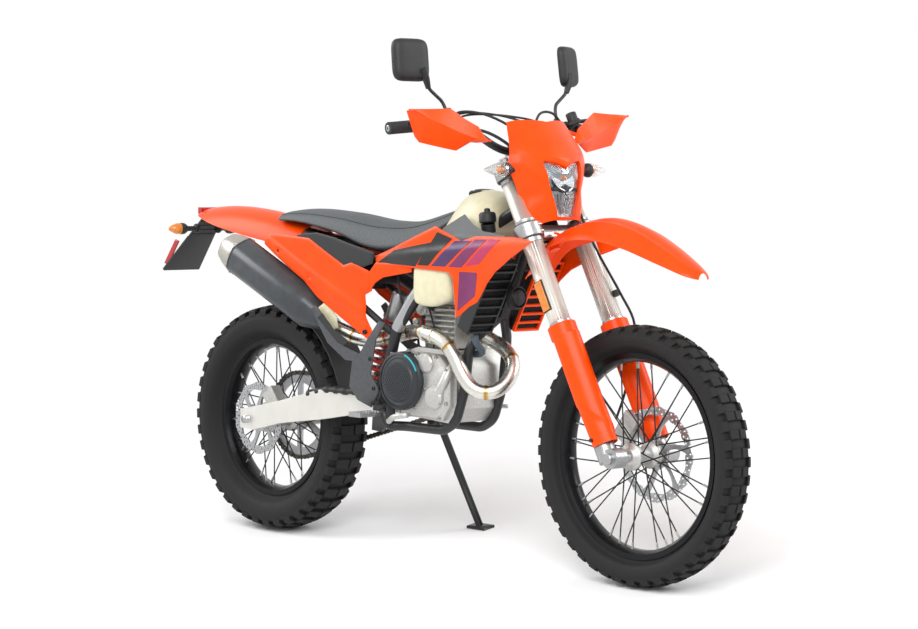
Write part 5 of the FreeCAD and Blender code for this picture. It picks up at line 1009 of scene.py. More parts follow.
# Spoke nipples: small turned sleeves where each wire enters the rim
wires = {"front": {"hub": frontHub, "rim": 256, "flange": 31, "width": 74},
         "rear": {"hub": rearHub, "rim": 217, "flange": 41, "width": 84}}
for name, wire in wires.items():
    build = Build()
    step = 2 * np.pi / 9
    side, way, index = (part.ravel() for part in np.meshgrid([-1, 1], [-1, 1], np.arange(9),
                                                             indexing="ij"))
    hubAngle = step * (index + (way + 1) / 4 + (side + 1) / 8)
    rimAngle = hubAngle + way * step * 1.1
    start = roundWheel(wire["hub"], hubAngle, side * (wire["width"] / 2 + 3 * way), wire["flange"])
    end = roundWheel(wire["hub"], rimAngle, side * (6 + 3 * way), wire["rim"])
    run = unit(end - start)
    first = unit(np.cross(run, [0, 1, 0]))
    second = np.cross(run, first)
    turn = np.linspace(0, 2 * np.pi, 6, endpoint=False)
    hexagon = [[np.cos(a) * r, np.sin(a) * r, h] for h, r in ((-22, 2.6), (-20, 3.4), (0, 3.6))
               for a in turn]
    faces = gridFaces(3, 6, False, True).tolist()
    blocks(build, (np.array(hexagon), faces), end, first, second, run)
    closing = np.array([[5, 4, 3, 2], [5, 2, 1, 0], [12, 13, 14, 15], [12, 15, 16, 17]])
    every = (closing[None] + (np.arange(36) * 18)[:, None, None]).reshape(-1, 4)
    build.faces.extend(every.tolist())
    build.put(name + "_spokes_nipples", zincSteel, name + "_spokes")

# Discs: a waved ring cut into cells, each with one round hole, carried on swept arms
discs = {"front_disc": {"hub": frontHub, "radius": 130.0, "face": 62.0, "cells": 36, "waves": 12,
                        "bore": 20.0, "carrier": 46.0},
         "rear_disc": {"hub": rearHub, "radius": 110.0, "face": -84.0, "cells": 32, "waves": 10,
                       "bore": 22.5, "carrier": 46.0}}


# In each cell 16 points run round its rim and round its hole; both faces and the walls close it
def makeDisc(name):
    disc = discs[name]
    build = Build()
    spots, thick, holeSize, waveShare = 16, 4.0, 3.1, 0.022
    turn = np.linspace(0, 2 * np.pi, spots, endpoint=False) + np.pi / spots
    circle = np.stack([np.cos(turn), np.sin(turn)], axis=1)
    square = circle / np.abs(circle).max(axis=1)[:, None]
    front, back = disc["face"], disc["face"] - thick
    pitch = 2 * np.pi / disc["cells"]
    for row, (outBy, inBy) in enumerate(((23.5, 12), (12, 1.5))):
        inside, outside = disc["radius"] - outBy, disc["radius"] - inBy
        cell = np.arange(disc["cells"]) + 0.5 * row
        middle, half = (inside + outside) / 2, (outside - inside) / 2
        rimA = (cell[:, None] + square[None, :, 0] * 0.5) * pitch
        onEdge = square[None, :, 1] > 0.99 if row else square[None, :, 1] < -0.99
        wave = 1 + waveShare * (2 * row - 1) * np.cos(disc["waves"] * rimA) * onEdge
        rimR = (middle + square[:, 1] * half)[None] * wave
        holeR = (middle + circle[:, 1] * holeSize)[None]
        holeA = cell[:, None] * pitch + circle[None, :, 0] * holeSize / middle
        points = np.stack([roundWheel(disc["hub"], angle, side, radius) for angle, side, radius in (
            (rimA, front, rimR), (holeA, front, holeR), (holeA, back, holeR), (rimA, back, rimR))],
            axis=1)
        base = gridFaces(4, spots, True, True)
        every = (base[None] + (np.arange(len(cell)) * 4 * spots)[:, None, None]).reshape(-1, 4)
        build.take(points.reshape(-1, 3), every)
    build.put(name + "_ring", discSteel, name, sharp=40, replaces=True)
    build = Build()
    t = np.linspace(0, 1, 9)[:, None]
    side = np.array([-1.0, 1.0])[None]
    for arm in range(6):
        base = arm * np.pi / 3
        radius = disc["carrier"] * 0.72 + (disc["radius"] - 17 - disc["carrier"] * 0.72) * t
        wide = 11 - 5.5 * np.sin(np.pi * t) + 1.5 * t
        angle = base + 0.34 * t + side * wide / radius
        outer = roundWheel(disc["hub"], angle, disc["face"] + 0.8, radius + 0 * side)
        shell(build, outer, 5.6, (0, 1, 0))
    low, wide = disc["carrier"] * 0.86, disc["carrier"] * 0.9
    turned(build, ((-5, disc["bore"]), (-5, low), (-4, wide), (0.4, wide), (1.2, low),
                   (1.2, disc["bore"])), disc["hub"] + leftWay * disc["face"], leftWay, 48)
    bolt = ((0, 6), (2.5, 6), (4, 4)) if disc["face"] > 0 else ((-6, 6), (-2, 6), (0, 4))
    for arm in range(6):
        spot = roundWheel(disc["hub"], arm * np.pi / 3 + 0.12, disc["face"], disc["carrier"] * 0.74)
        turned(build, bolt, spot, leftWay, 12)
    build.put(name + "_carrier", machinedAluminium, name, sharp=30)


for name in discs:
    makeDisc(name)
print("wheels ready")

# Hand guards: bowed shields with one long fold from the outer top to the inner end
handGuard = {"wall": 3.0, "lowBack": 30.0, "highBack": 22.0,
             "columns": ((0.424, 1.063, 1.068, 1.074), (0.479, 1.066, 1.078, 1.123),
                         (0.521, 1.071, 1.083, 1.138), (0.606, 1.053, 1.102, 1.168),
                         (0.629, 1.048, 1.108, 1.178), (0.691, 1.056, 1.122, 1.200),
                         (0.752, 1.064, 1.137, 1.201), (0.901, 1.083, 1.168, 1.203),
                         (0.929, 1.086, 1.176, 1.2035), (0.969, 1.108, 1.187, 1.204),
                         (1.037, 1.198, 1.202, 1.205)),
             "plan": ((0.42, 0.075), (0.60, 0.048), (0.82, 0.030), (1.06, 0.018))}
columns = np.array(handGuard["columns"])
plan = np.array(handGuard["plan"])
t = np.linspace(0, len(columns) - 1, 61)
line = np.stack([np.interp(t, np.arange(len(columns)), columns[:, i]) for i in range(4)], axis=1)
v = np.concatenate([np.linspace(0, 0.94, 9), np.linspace(1.0, 2, 10)])
lower, upper = np.clip(v, 0, 1)[None], np.clip(v - 1, 0, 1)[None]
up = (line[:, 1, None] + (line[:, 2] - line[:, 1])[:, None] * lower
      + (line[:, 3] - line[:, 2])[:, None] * upper)
y = np.repeat(line[:, :1] * bike["halfBar"], len(v), axis=1)
ahead = smoothOver(y / bike["halfBar"], plan[:, 0], plan[:, 1]) * forkLength
x = onFork(1.12 * forkLength)[0] + forkAhead[0] * ahead
x = x - handGuard["lowBack"] * (1 - lower) - handGuard["highBack"] * upper
z = forkBase[2] + forkUp[2] * forkLength * up + forkAhead[2] * ahead
guard = np.stack([x, -y, z], axis=-1)
build = Build()
shell(build, guard, handGuard["wall"], (1, 0, 0))
seatUp = onFork(1021.47, -38.79, -200.9)
tube(build, [seatUp, guard[16, 8] + [-3, 0, 0]], 6, 5, 12, smooth=False)
build.mirror()
build.put("hand_guards_shields", orangePlastic, "hand_guards", sharp=22, replaces=True)

# Handlebar: bent tube, ribbed grips with end plugs, risers' clamp bar
barPoints = np.array([onFork(1031.814, -82.752, -410), onFork(1031.814, -44.824, -217.3),
                      onFork(1010.264, -27.584, -164), onFork(928.374, -11, -90.2),
                      onFork(928.374, -11, 0)])
whole = np.vstack([barPoints, barPoints[-2::-1] * [1, -1, 1]])


# Quadratic B-spline through the middles of a route's runs: tangent to each run, as a bent tube is
def bentLine(route, fine=10):
    route = np.asarray(route, float)
    middles = (route[1:] + route[:-1]) / 2
    t = np.linspace(0, 1, fine, endpoint=False)[:, None]
    pieces = [route[:1]]
    for i in range(1, len(route) - 1):
        pieces.append((1 - t) ** 2 * middles[i - 1] + 2 * t * (1 - t) * route[i]
                      + t ** 2 * middles[i])
    pieces += [middles[-1:], route[-1:]]
    return np.vstack(pieces)


build = Build()
tube(build, bentLine(whole), 11, smooth=False, sides=24)
build.put("handlebar_tube", blackPaint, "handlebar", replaces=True)
build = Build()
run = unit(barPoints[0] - barPoints[1])
along = np.linspace(-122, -4, 120)
ridge = 16.2 + 0.9 * (np.sin(along * 2 * np.pi / 5.2) > 0)
profile = np.vstack([[[-128, 12]], [[-128, 21]], [[-124, 22]], [[-123, 17]],
                     np.stack([along, ridge], axis=1), [[-3, 17.5]], [[0, 16]], [[0, 10]]])
turned(build, profile, barPoints[0], run, 28)
build.mirror()
build.put("handlebar_grips", gripRubber, "handlebar", sharp=50)
build = Build()
turned(build, ((-6, 9), (0.5, 9), (2, 7), (2, 4), (0, 3.5)), barPoints[0], run, 20)
build.mirror()
build.put("handlebar_plugs", machinedAluminium, "handlebar")

# Mirrors: domed back, rolled rim and a glass pane behind, on a bent rod with a rubber neck
mirrorHead = {"size": 116.0, "tall": 118.0, "power": 5.0, "yaw": {"right": 8.0, "left": 24.0}}
angle = np.linspace(0, 2 * np.pi, 64, endpoint=False)
p = 2 / mirrorHead["power"]
cosine = np.sign(np.cos(angle)) * np.abs(np.cos(angle)) ** p * mirrorHead["size"] / 2
sine = np.sign(np.sin(angle)) * np.abs(np.sin(angle)) ** p * mirrorHead["tall"] / 2


# The mirror's superellipse at each (ahead, share of the full size)
def ringsAt(centre, ahead, wideWay, highWay, steps):
    steps = np.array(steps, float)[:, :, None, None]
    return (centre + steps[:, 0] * ahead
            + (cosine[None, :, None] * wideWay + sine[None, :, None] * highWay) * steps[:, 1])


for sideName, side in (("right", -1), ("left", 1)):
    yaw = math.radians(mirrorHead["yaw"][sideName]) * side
    centre = onFork(1206.8, -9.482, side * 311.6)
    ahead = unit(np.array([math.cos(yaw), math.sin(yaw), 0.12]))
    wideWay = unit(np.cross([0, 0, 1], ahead))
    highWay = np.cross(ahead, wideWay)
    build = Build()
    build.grid(ringsAt(centre, ahead, wideWay, highWay, (
        (13, 0.1), (13, 0.5), (12, 0.74), (9, 0.88), (3, 0.96), (-4, 0.995), (-10, 1.0),
        (-12.5, 0.985), (-12.5, 0.95), (-10, 0.94), (-9.5, 0.5), (-9.5, 0.1))), caps=True)
    neckTop = centre - highWay * 26 - wideWay * side * 28 + ahead * 8
    neckLow = centre - highWay * 78 - wideWay * side * 50 + ahead * 2
    line = smoothLine([neckTop, (neckTop + neckLow) / 2 + ahead * 3, neckLow], 10)
    build.grid(ringPoints(line, np.linspace(16, 8.5, 10), 20, squash=0.72), caps=True)
    build.put("mirrors_shell_" + sideName, blackPlastic, "mirrors", sharp=45, replaces=side < 0)
    build = Build()
    build.grid(ringsAt(centre, ahead, wideWay, highWay, (
        (-9.6, 0.93), (-11, 0.93), (-11.4, 0.90), (-11.4, 0.1))), caps=True)
    build.put("mirrors_glass_" + sideName, mirrorGlass, "mirrors")
    root = onFork(1025.78, -43.1, side * 214)
    build = Build()
    elbow = onFork(1087.844, -34, side * 218)
    rod = bentLine([root, elbow, (elbow + neckLow) / 2, neckLow, (neckLow + neckTop) / 2])
    tube(build, rod, 4.8, smooth=False, sides=14)
    turned(build, ((0, 9), (16, 9), (22, 7), (26, 5)), root, forkUp, 20)
    build.put("mirrors_rod_" + sideName, blackPaint, "mirrors")

# Front indicators: black root, clear pointed shell, chromed dish and amber bulb inside
indicatorParts = (
    ("root", blackPlastic, 24, ((-62, 7), (-4, 8), (0, 13), (4, 18), (9, 20), (14, 20), (14, 10))),
    ("lens", clearPolycarbonate, 28, (
        (14, 19.8), (20, 20.5), (34, 19.5), (54, 15.5), (72, 10), (88, 4), (93, 1), (93, 0.4),
        (91, 0.4), (86, 3), (71, 8.6), (54, 13.8), (34, 17.8), (20, 18.8), (14, 18))),
    ("dish", reflectorChrome, 20, ((13, 14), (17, 12), (20, 7), (24, 6))),
    ("bulb", amberLens, 20, ((22, 5), (28, 8), (36, 9), (42, 6), (45, 1))))
for sideName, side in (("right", -1), ("left", 1)):
    way = np.array([-0.06, side, 0.0])
    start = onFork(0.976 * forkLength, 50, side * 150)
    for partName, material, sides, profile in indicatorParts:
        turned(Build(), profile, start, way, sides).put(
            "front_indicators_" + partName + "_" + sideName, material, "front_indicators",
            replaces=side < 0 and partName == "root")
print("cockpit ready")


# A CAD node with its edges rounded: merged, and bevelled where it folds by over 35 degrees
def dressBevelled(node, material, width, segments):
    finishEdges(dress(node, material, 40), bevel=width / 1000, segments=segments)


# A CAD pair whose right half is painted in another colour than its left half: painted shade
def dressWithShadedRight(node, left, right):
    piece = dress(node, left)
    piece.data.materials.append(right)
    centres = np.zeros(len(piece.data.polygons) * 3)
    piece.data.polygons.foreach_get("center", centres)
    side = (centres.reshape(-1, 3) - rearAxle) @ across
    piece.data.polygons.foreach_set("material_index", (side < 0).astype(np.int32))


# Screw heads: a turned cap with a six-sided socket sunk in it
def screws(build, places, direction, radius=5.0, height=4.0):
    for place in places:
        turned(build, ((-3, radius), (height * 0.7, radius), (height, radius * 0.85),
                       (height, radius * 0.5), (height * 0.4, radius * 0.45)), place, direction, 12)
    return build


# Places in side view, all at the same distance out
def sideSpots(spots, y):
    return [np.array([x, y, z], float) for x, z in spots]


# Places on a circle in side view, by degrees from the top towards the front
def circleSpots(centre, radius, degrees):
    return [centre + np.array([math.sin(a), 0, math.cos(a)]) * radius for a in np.radians(degrees)]


# Engine: right case cover with ribs, round clutch cover, water pump, screws round its rim
engine = {"caseFace": -88.0, "clutch": (680, 504.5), "pump": (810, 466), "filter": (772, 560)}
clutchCentre, pumpCentre, filterCentre = (
    np.array([engine[part][0], engine["caseFace"], engine[part][1]])
    for part in ("clutch", "pump", "filter"))
outline = np.array([(642, 409), (700, 402), (826, 400), (857, 447), (857, 547), (811, 586),
                    (730, 590), (654, 571)], float)
build = Build()
t = np.linspace(0, len(outline), 73)[:-1]
loop = np.vstack([outline, outline[:1]])
rimLine = np.stack([np.interp(t, np.arange(len(loop)), loop[:, i]) for i in (0, 1)], axis=1)
middle = rimLine.mean(axis=0)
rings = []
for share, depth in ((1.0, 0), (1.0, 14), (0.985, 19), (0.95, 22), (0.93, 26), (0.90, 29),
                     (0.7, 31), (0.35, 32), (0.03, 32)):
    flat = middle + (rimLine - middle) * share
    ripple = 1.6 * np.sin(t * 2.2) * (0.3 < share < 0.95)
    rings.append(np.stack([flat[:, 0], np.full(len(flat), engine["caseFace"] - depth) - ripple,
                           flat[:, 1]], axis=1))
build.grid(np.stack(rings), caps=True)
magnetoCentre = onBody(0.532, 0, 0.50) + leftWay * 88
turned(build, ((-2, 66), (16, 65), (24, 60), (30, 50), (33, 30), (34, 8)), magnetoCentre, leftWay,
       56)
turned(build, ((30, 20), (38, 19), (39, 12)), magnetoCentre, leftWay, 24)
# Curved ribs low on the cover, like the stiffeners of a cast case
for lift in np.arange(5):
    bend = np.linspace(0, 1, 14)
    x = 650 + 150 * bend
    z = 470 - lift * 9 - 34 * np.sin(np.pi * bend * 0.8) + lift * 4 * bend
    rib = np.stack([x, np.full(14, -117.0 + lift * 1.2), z], axis=1)
    tube(build, rib, 2.6, 14, 8, smooth=False)
build.put("engine_covers_cases", castAluminium, "engine_covers", sharp=38, replaces=True)
turned(Build(), ((20, 84), (34, 84), (42, 82), (48, 77), (51, 72), (51.5, 66), (50, 64), (51, 60),
               (55, 56), (57.5, 40), (58.2, 8)), clutchCentre, rightWay, 72).put(
    "engine_covers_clutch", enginePlate, "engine_covers", sharp=30)
turned(Build(), ((49.5, 83), (50.3, 80.5), (51.6, 76.5), (51.8, 75.5), (49, 75.5)), clutchCentre,
       rightWay, 72).put(
    "engine_covers_ring", blackPaint, "engine_covers")
# Raised texture of the clutch cover: rows of small three-sided grains
build = Build()
gx, gz = np.meshgrid(np.arange(-50, 51, 9.0), np.arange(-49, 50, 7.0), indexing="ij")
gx = gx + np.round(gz / 7.0) % 2 * 4.5
keep = np.hypot(gx, gz) < 52
spots = np.stack([gx[keep], np.zeros(keep.sum()), gz[keep]], axis=1)
far = np.hypot(spots[:, 0], spots[:, 2])
spots[:, 1] = -np.interp(far, (0, 40, 56), (58.0, 57.2, 54.6))
corners = np.array([(-3.9, -2.6, -0.6), (3.9, -2.6, -0.6), (0, 3.7, -0.6), (-2.5, -1.8, 1.8),
                    (2.5, -1.8, 1.8), (0, 2.3, 1.8)])
many = len(spots)
blocks(build, (corners, [[0, 1, 4, 3], [1, 2, 5, 4], [2, 0, 3, 5]]), clutchCentre + spots,
       *(np.tile(way, (many, 1)) for way in (forward, [0.0, 0.0, 1.0], rightWay)))
ends = np.array([[3, 4, 5], [2, 1, 0]]) + (np.arange(many) * 6)[:, None, None]
build.faces.extend(ends.reshape(-1, 3).tolist())
build.put("engine_covers_grain", enginePlate, "engine_covers", sharp=20)
build = Build()
turned(build, ((20, 34), (38, 33), (44, 28), (46, 16), (46, 4)), pumpCentre, rightWay, 32)
line = smoothLine([pumpCentre + [18, -34, 16], pumpCentre + [34, -30, 44],
                   pumpCentre + [40, -16, 74], (850, -62, 575)], 14)
build.grid(ringPoints(line, np.linspace(15, 12, 14), 18), caps=True)
turned(build, ((20, 27), (34, 27), (38, 23), (40, 8)), filterCentre, rightWay, 28)
turned(build, ((0, 26), (30, 25), (36, 20), (38, 6)), (700, 60, 610), leftWay, 28)
build.put("crankcase_housings", castAluminium, "crankcase", sharp=35)
build = Build()
for spots, way, radius, height in (
        (circleSpots(clutchCentre + rightWay * 30, 89, np.arange(8) * 45 + 12), rightWay, 5.2, 6),
        (sideSpots(middle + (outline - middle) * 0.93, -114.0), rightWay, 5.2, 5),
        (circleSpots(pumpCentre + rightWay * 38, 29, [30, 120, 210, 300]), rightWay, 4.2, 4),
        (circleSpots(filterCentre + rightWay * 33, 22, [90, 270]), rightWay, 4.2, 4),
        (circleSpots(magnetoCentre + leftWay * 18, 60, np.arange(6) * 60), leftWay, 4.6, 8),
        (sideSpots(((720, 650), (720, 715), (815, 650), (815, 715)), -66), rightWay, 5, 5),
        (sideSpots(((722, 740), (760, 744), (805, 740), (822, 775)), -60), rightWay, 5.5, 6)):
    screws(build, spots, way, radius, height)
build.put("engine_covers_screws", zincSteel, "engine_covers", sharp=35)
# Hose from the water pump to the right radiator's pipe, with its clip
build = Build()
tube(build, [(756, -92, 538), (784, -88, 560), (818, -80, 570), (852, -62, 574)], 13, 20, 18)
build.put("coolant_hoses_pump", hoseRubber, "coolant_hoses")
build = Build()
turned(build, ((-5, 13), (-5, 15), (5, 15), (5, 13)), (776, -88, 555), (0.8, 0.1, 0.6), 24)
turned(build, ((-26, 15), (6, 14)), (756, -92, 538), (0.5, 0.2, 0.7), 20)
turned(build, ((0, 15), (92, 15)), (984, -74, 866), (0.01, -0.2, 0.97), 20)
build.put("coolant_hoses_clips", zincSteel, "coolant_hoses")
build = Build()
turned(build, ((0, 19), (4, 24), (24, 24), (30, 20), (32, 9), (40, 8), (42, 3)), (986, -93, 962),
       (-0.1, 0, 1), 28)
turned(build, ((-26, 20), (-2, 20)), (986, -93, 962), (0.01, -0.2, 0.97), 20)
build.put("coolant_hoses_cap", blackPlastic, "coolant_hoses")
# Coloured seal that shows as a short arc on the clutch cover's rim
build = Build()
arc = np.radians(np.linspace(18, 66, 16))
arc = clutchCentre + rightWay * 51.4 + 79 * np.stack([np.sin(arc), 0 * arc, np.cos(arc)], axis=1)
tube(build, arc, 2.4, smooth=False, sides=8, reference=rightWay)
build.put("engine_covers_seal", sealTeal, "engine_covers")
dressBevelled("crankcase", castAluminium, 5, 3)
dressBevelled("cylinder", castAluminium, 1.6, 2)
dressBevelled("cylinder_head", castAluminium, 6, 3)
# Cam cover ribs, throttle body, plug cap and a thin cable across the barrel
build = Build()
for z in (747, 757, 767, 777):
    tube(build, [(712, -61, z), (826, -61, z)], 2.4, 2, 8, smooth=False)
turned(build, ((0, 27), (46, 27), (48, 25)), (662, -28, 716), (0.97, 0, -0.1), 28)
turned(build, ((0, 22), (16, 22), (18, 18)), (694, -52, 712), rightWay, 24)
for x, z, size in ((650, 700, 12), (676, 672, 10), (648, 736, 9)):
    turned(build, ((-6, size), (8, size), (10, size * 0.7)), (x, -66, z), rightWay, 20)
build.put("cylinder_head_details", castAluminium, "cylinder_head", sharp=35)
build = Build()
for radius, count, points in (
        (2.6, 30, ((700, -66, 800), (712, -74, 760), (742, -76, 700), (762, -74, 640),
                   (760, -80, 600))),
        (3.2, 24, ((640, -40, 770), (664, -60, 740), (690, -62, 700), (700, -60, 650))),
        (3.6, 26, ((610, -80, 800), (626, -84, 740), (640, -70, 690), (668, -60, 640),
                   (690, -70, 600)))):
    tube(build, points, radius, count, 8)
turned(build, ((0, 9), (26, 9), (30, 6)), (742, -60, 712), (0.2, -1, 0.35), 16)
build.put("cylinder_wires", gripRubber, "airbox")

# Exhaust: one bent pipe, heat tint kept as a value that peaks at each weld
exhaust = {"radius": 20.6, "welds": (0.045, 0.16, 0.30, 0.47, 0.60, 0.68, 0.78, 0.90)}
route = np.array(((0.562, 0.06, 0.680), (0.592, 0.06, 0.672), (0.640, 0.11, 0.640),
                  (0.672, 0.05, 0.60), (0.680, -0.20, 0.545), (0.668, -0.56, 0.512),
                  (0.640, -0.80, 0.518), (0.616, -0.88, 0.560), (0.598, -0.92, 0.615),
                  (0.568, -0.92, 0.662), (0.505, -0.84, 0.680), (0.440, -0.50, 0.676),
                  (0.377, -0.50, 0.650), (0.318, -0.60, 0.636))) * bodyScale[[0, 1, 3]]
headerEnd = onBody(0.224, -0.72, 0.681)
mufflerTail = onBody(-0.067, -0.96, 0.905)
mufflerWay = unit(headerEnd - mufflerTail)
route = np.vstack([route, headerEnd + mufflerWay * 34, headerEnd])
line = bentLine(route, 9)
run = runLength(line)
even = np.linspace(0, run[-1], 220)
line = np.stack([np.interp(even, run, line[:, i]) for i in range(3)], axis=1)
share = even / even[-1]
radius = exhaust["radius"] + 3.0 * np.clip((share - 0.74) / 0.12, 0, 1)
tint = np.zeros(len(share))
for weld in exhaust["welds"]:
    radius = radius + 1.1 * np.exp(-((share - weld) / 0.0028) ** 2)
    tint = np.maximum(tint, 0.75 * np.exp(-((share - weld) / 0.0045) ** 2))
build = Build()
points = ringPoints(line, radius, 26, reference=np.array([0.0, 0.3, 1.0]))
build.grid(points, caps=True)
for place, size, deep in ((6, 30, 7), (118, 24, 9), (128, 23.5, 5)):
    turned(build, ((-deep / 2, size - 2), (-deep / 2 + 1, size), (deep / 2 - 1, size),
                   (deep / 2, size - 2)), line[place], line[place + 1] - line[place - 1], 28)
heatUv = np.zeros((build.count, 2))
heatUv[:len(line) * 26, 0] = np.repeat(tint, 26)
heatUv[len(line) * 26 + 2:, 0] = 0.12
build.put("exhaust_header_pipe", heatSteel, "exhaust_header", uv=heatUv, sharp=40, replaces=True)

# Muffler: eight-sided soft can, coned front, riveted end cap with its outlet
muffler = {"flat": 0.035, "capFlat": 0.02}
length = np.linalg.norm(headerEnd - mufflerTail)
first = unit(np.cross(mufflerWay, [0, 0, 1.0]))
mufflerPair = np.array([first, np.cross(first, mufflerWay)])


# Radius of the can round its axis: r (1 - flat cos(6 a)), a circle pressed towards six flats
def canRings(profile, flat):
    angle = np.linspace(0, 2 * np.pi, 96, endpoint=False)
    profile = np.array(profile, float)
    shape = 1 - flat * np.cos(6 * angle)[None] * np.ones(len(profile))[:, None]
    circle = np.stack([np.cos(angle), np.sin(angle)], axis=1) @ mufflerPair
    return (mufflerTail + profile[:, 0, None, None] * mufflerWay
            + (profile[:, 1, None] * shape)[..., None] * circle[None])


can = canRings(((62, 59), (63, 60.8), (70, 61), (72, 60), (74, 61), (300, 61), (length - 96, 61),
                (length - 92, 59.5), (length - 60, 48), (length - 24, 31), (length - 8, 24),
                (length, 22)), muffler["flat"])
Build().grid(can, caps=True).put("muffler_can", mufflerCoat, "muffler", sharp=30, replaces=True)
cap = canRings(((66, 60.5), (66, 61.6), (60, 61.8), (52, 60), (30, 55), (10, 48), (2, 44.5),
                (0, 42), (0, 25), (2, 21), (4, 19.5), (38, 19), (40, 17), (40, 1)),
               muffler["capFlat"])
Build().grid(cap, caps=True).put("muffler_cap", brushedCap, "muffler", sharp=35)
build = Build()
for a in np.radians(np.arange(10) * 36 + 10):
    way = np.array([math.cos(a), math.sin(a)]) @ mufflerPair
    turned(build, ((-2, 3.6), (0.6, 3.6), (1.6, 2.2)), mufflerTail + mufflerWay * 60 + way * 61.4,
           way, 10)
build.put("muffler_rivets", zincSteel, "muffler")
print("engine and exhaust ready")

# Fork guards: a bowed shell in front of each lower leg with a slanting fold, a ring and two screws
forkGuard = {"start": 46.0, "end": 364.0, "wall": 3.2, "inside": 32.0}


# Radius round the leg: inside + bow; the front folds out along a line that slants up and back
def guardShell(side):
    up = np.linspace(forkGuard["start"], forkGuard["end"], 44)[:, None]
    angle = np.radians(np.linspace(-108, 112, 40))[None]
    low = np.clip((150 - up) / 104, 0, 1)
    radius = forkGuard["inside"] + forkGuard["wall"] + 2.0 + 7.0 * np.exp(-(angle / 0.55) ** 2)
    fold = np.clip((up - 95 - 60 * np.degrees(angle) / 100) / 5, -1, 1)
    radius = radius + 1.6 * fold - 3.5 * low * np.abs(angle) / 1.9
    reach = radius * (1 + 0.10 * low * np.exp(-((angle + 0.5) / 0.7) ** 2))
    return (forkBase + forkUp * (up + 0 * angle)[..., None]
            + forkAhead * (reach * np.cos(angle))[..., None]
            + leftWay * (side * (forkHalf + reach * np.sin(angle)))[..., None])


build = Build()
shell(build, guardShell(-1), forkGuard["wall"], (forkAhead + rightWay) / 1.4)
turned(build, ((0, 31.5), (0, 38), (2, 39.5), (34, 39.5), (36, 38), (36, 31.5)),
       onFork(362, 0, -forkHalf), forkUp, 48)
build.mirror()
build.put("fork_guards_shells", orangePlastic, "fork_guards", sharp=24, replaces=True)
build = Build()
for up, ahead, out in ((62, 30, 16), (66, -6, 36)):
    turned(build, ((-4, 5.5), (2, 5.5), (3, 4), (2, 2)), onFork(up, ahead, -forkHalf - out),
           forkAhead * (ahead > 10) + rightWay, 14)
build.mirror()
build.put("fork_guards_screws", darkSteel, "fork_guards")
dressBevelled("fork_legs", machinedAluminium, 2.5, 3)
dress("fork_tubes", forkAluminium)
dressBevelled("triple_clamps", machinedAluminium, 3, 3)
# Machined collars and wiper seals on the tubes, caps with a hexagon, pinch screws in the clamps
build = Build()
for up, size, tall in ((398, 31.5, 8), (640, 31.5, 12), (700, 30.5, 8), (822, 29, 10)):
    turned(build, ((0, size - 2), (0.5, size), (tall - 0.5, size), (tall, size - 2)),
           onFork(up, 0, -forkHalf), forkUp, 40)
turned(build, ((0, 24), (8, 24), (9, 14), (16, 14), (17, 12)), onFork(882, 0, -forkHalf), forkUp,
       6)
for up in (664, 684, 842, 856):
    turned(build, ((-5, 5), (8, 5), (9, 3.5)), onFork(up, 36, 12 - forkHalf), rightWay, 12)
turned(build, ((-3, 15), (14, 15), (16, 13), (17, 6)), frontHub + rightWay * 123, rightWay, 24)
build.mirror()
build.put("fork_tubes_collars", machinedAluminium, "fork_tubes", sharp=35)
# Amber side reflectors in a dark frame on each fork tube
build, glass = Build(), Build()
for part, grow, lift in ((build, 3.0, 0.0), (glass, 0.0, 3.0)):
    x = np.array([-1, 1, 1, -1]) * (13 + grow)
    z = np.array([-1, -1, 1, 1]) * (42 + grow)
    places = [onFork(486 + dz, dx - 4, -forkHalf - out) for out in (31 + lift, 26)
              for dx, dz in zip(x, z)]
    part.take(np.array(places), [[0, 1, 2, 3], [7, 6, 5, 4], [0, 4, 5, 1], [1, 5, 6, 2],
                                 [2, 6, 7, 3], [3, 7, 4, 0]])
    part.mirror()
finishEdges(build.put("fork_tubes_reflector_frames", blackPlastic, "fork_tubes"),
            bevel=0.002)
finishEdges(glass.put("fork_tubes_reflectors", amberLens, "fork_tubes"), bevel=0.0015)

# Brake hose, clutch hose, throttle cables and wiring, all carried by the steering.
# Each run: its radius, then places as (up the fork, ahead of it, to its left)
cableRuns = {
    "brake_hose": (3.6, ((1034.4, -40, -232), (1047.33, -6, -190), (1012.85, 30, -120),
        (939.58, 44, -20), (862, 40, 60), (741.32, 42, 74), (600, 44, 88), (470, 44, 120),
        (380, 30, 150), (300, -20, 150), (215, -62, 122), (150, -92, 84))),
    "clutch_hose": (3.6, ((1034.4, -40, 232), (1053.364, -10, 170), (1030.09, 20, 80),
        (948.2, 40, 0), (862, 30, -46), (775.8, 16, -52), (730, -4, -54))),
    "throttle_cable_a": (3.0, ((1025.78, -34, -250), (1044.744, -8, -180), (1021.47, 20, -60),
        (974.06, 36, 30), (896.48, 34, 56), (793.04, 12, 56), (740, -6, 54))),
    "throttle_cable_b": (3.0, ((1017.16, -30, -252), (1041.296, -12, -160), (1027.504, 10, -20),
        (991.3, 30, 66), (913.72, 28, 70), (801.66, 8, 66), (750, -8, 62))),
    "wiring_right": (4.4, ((1008.54, -26, -210), (974.06, 16, -150), (922.34, 30, -90),
        (862, 34, -70), (775.8, 30, -62))),
    "wiring_left": (4.4, ((1008.54, -26, 210), (974.06, 16, 150), (922.34, 30, 90), (862, 34, 72),
        (775.8, 30, 62)))}
for name, (size, spots) in cableRuns.items():
    tube(Build(), [onFork(*spot) for spot in spots], size, 64, 10).put(name, gripRubber,
                                                                      "bar_controls")
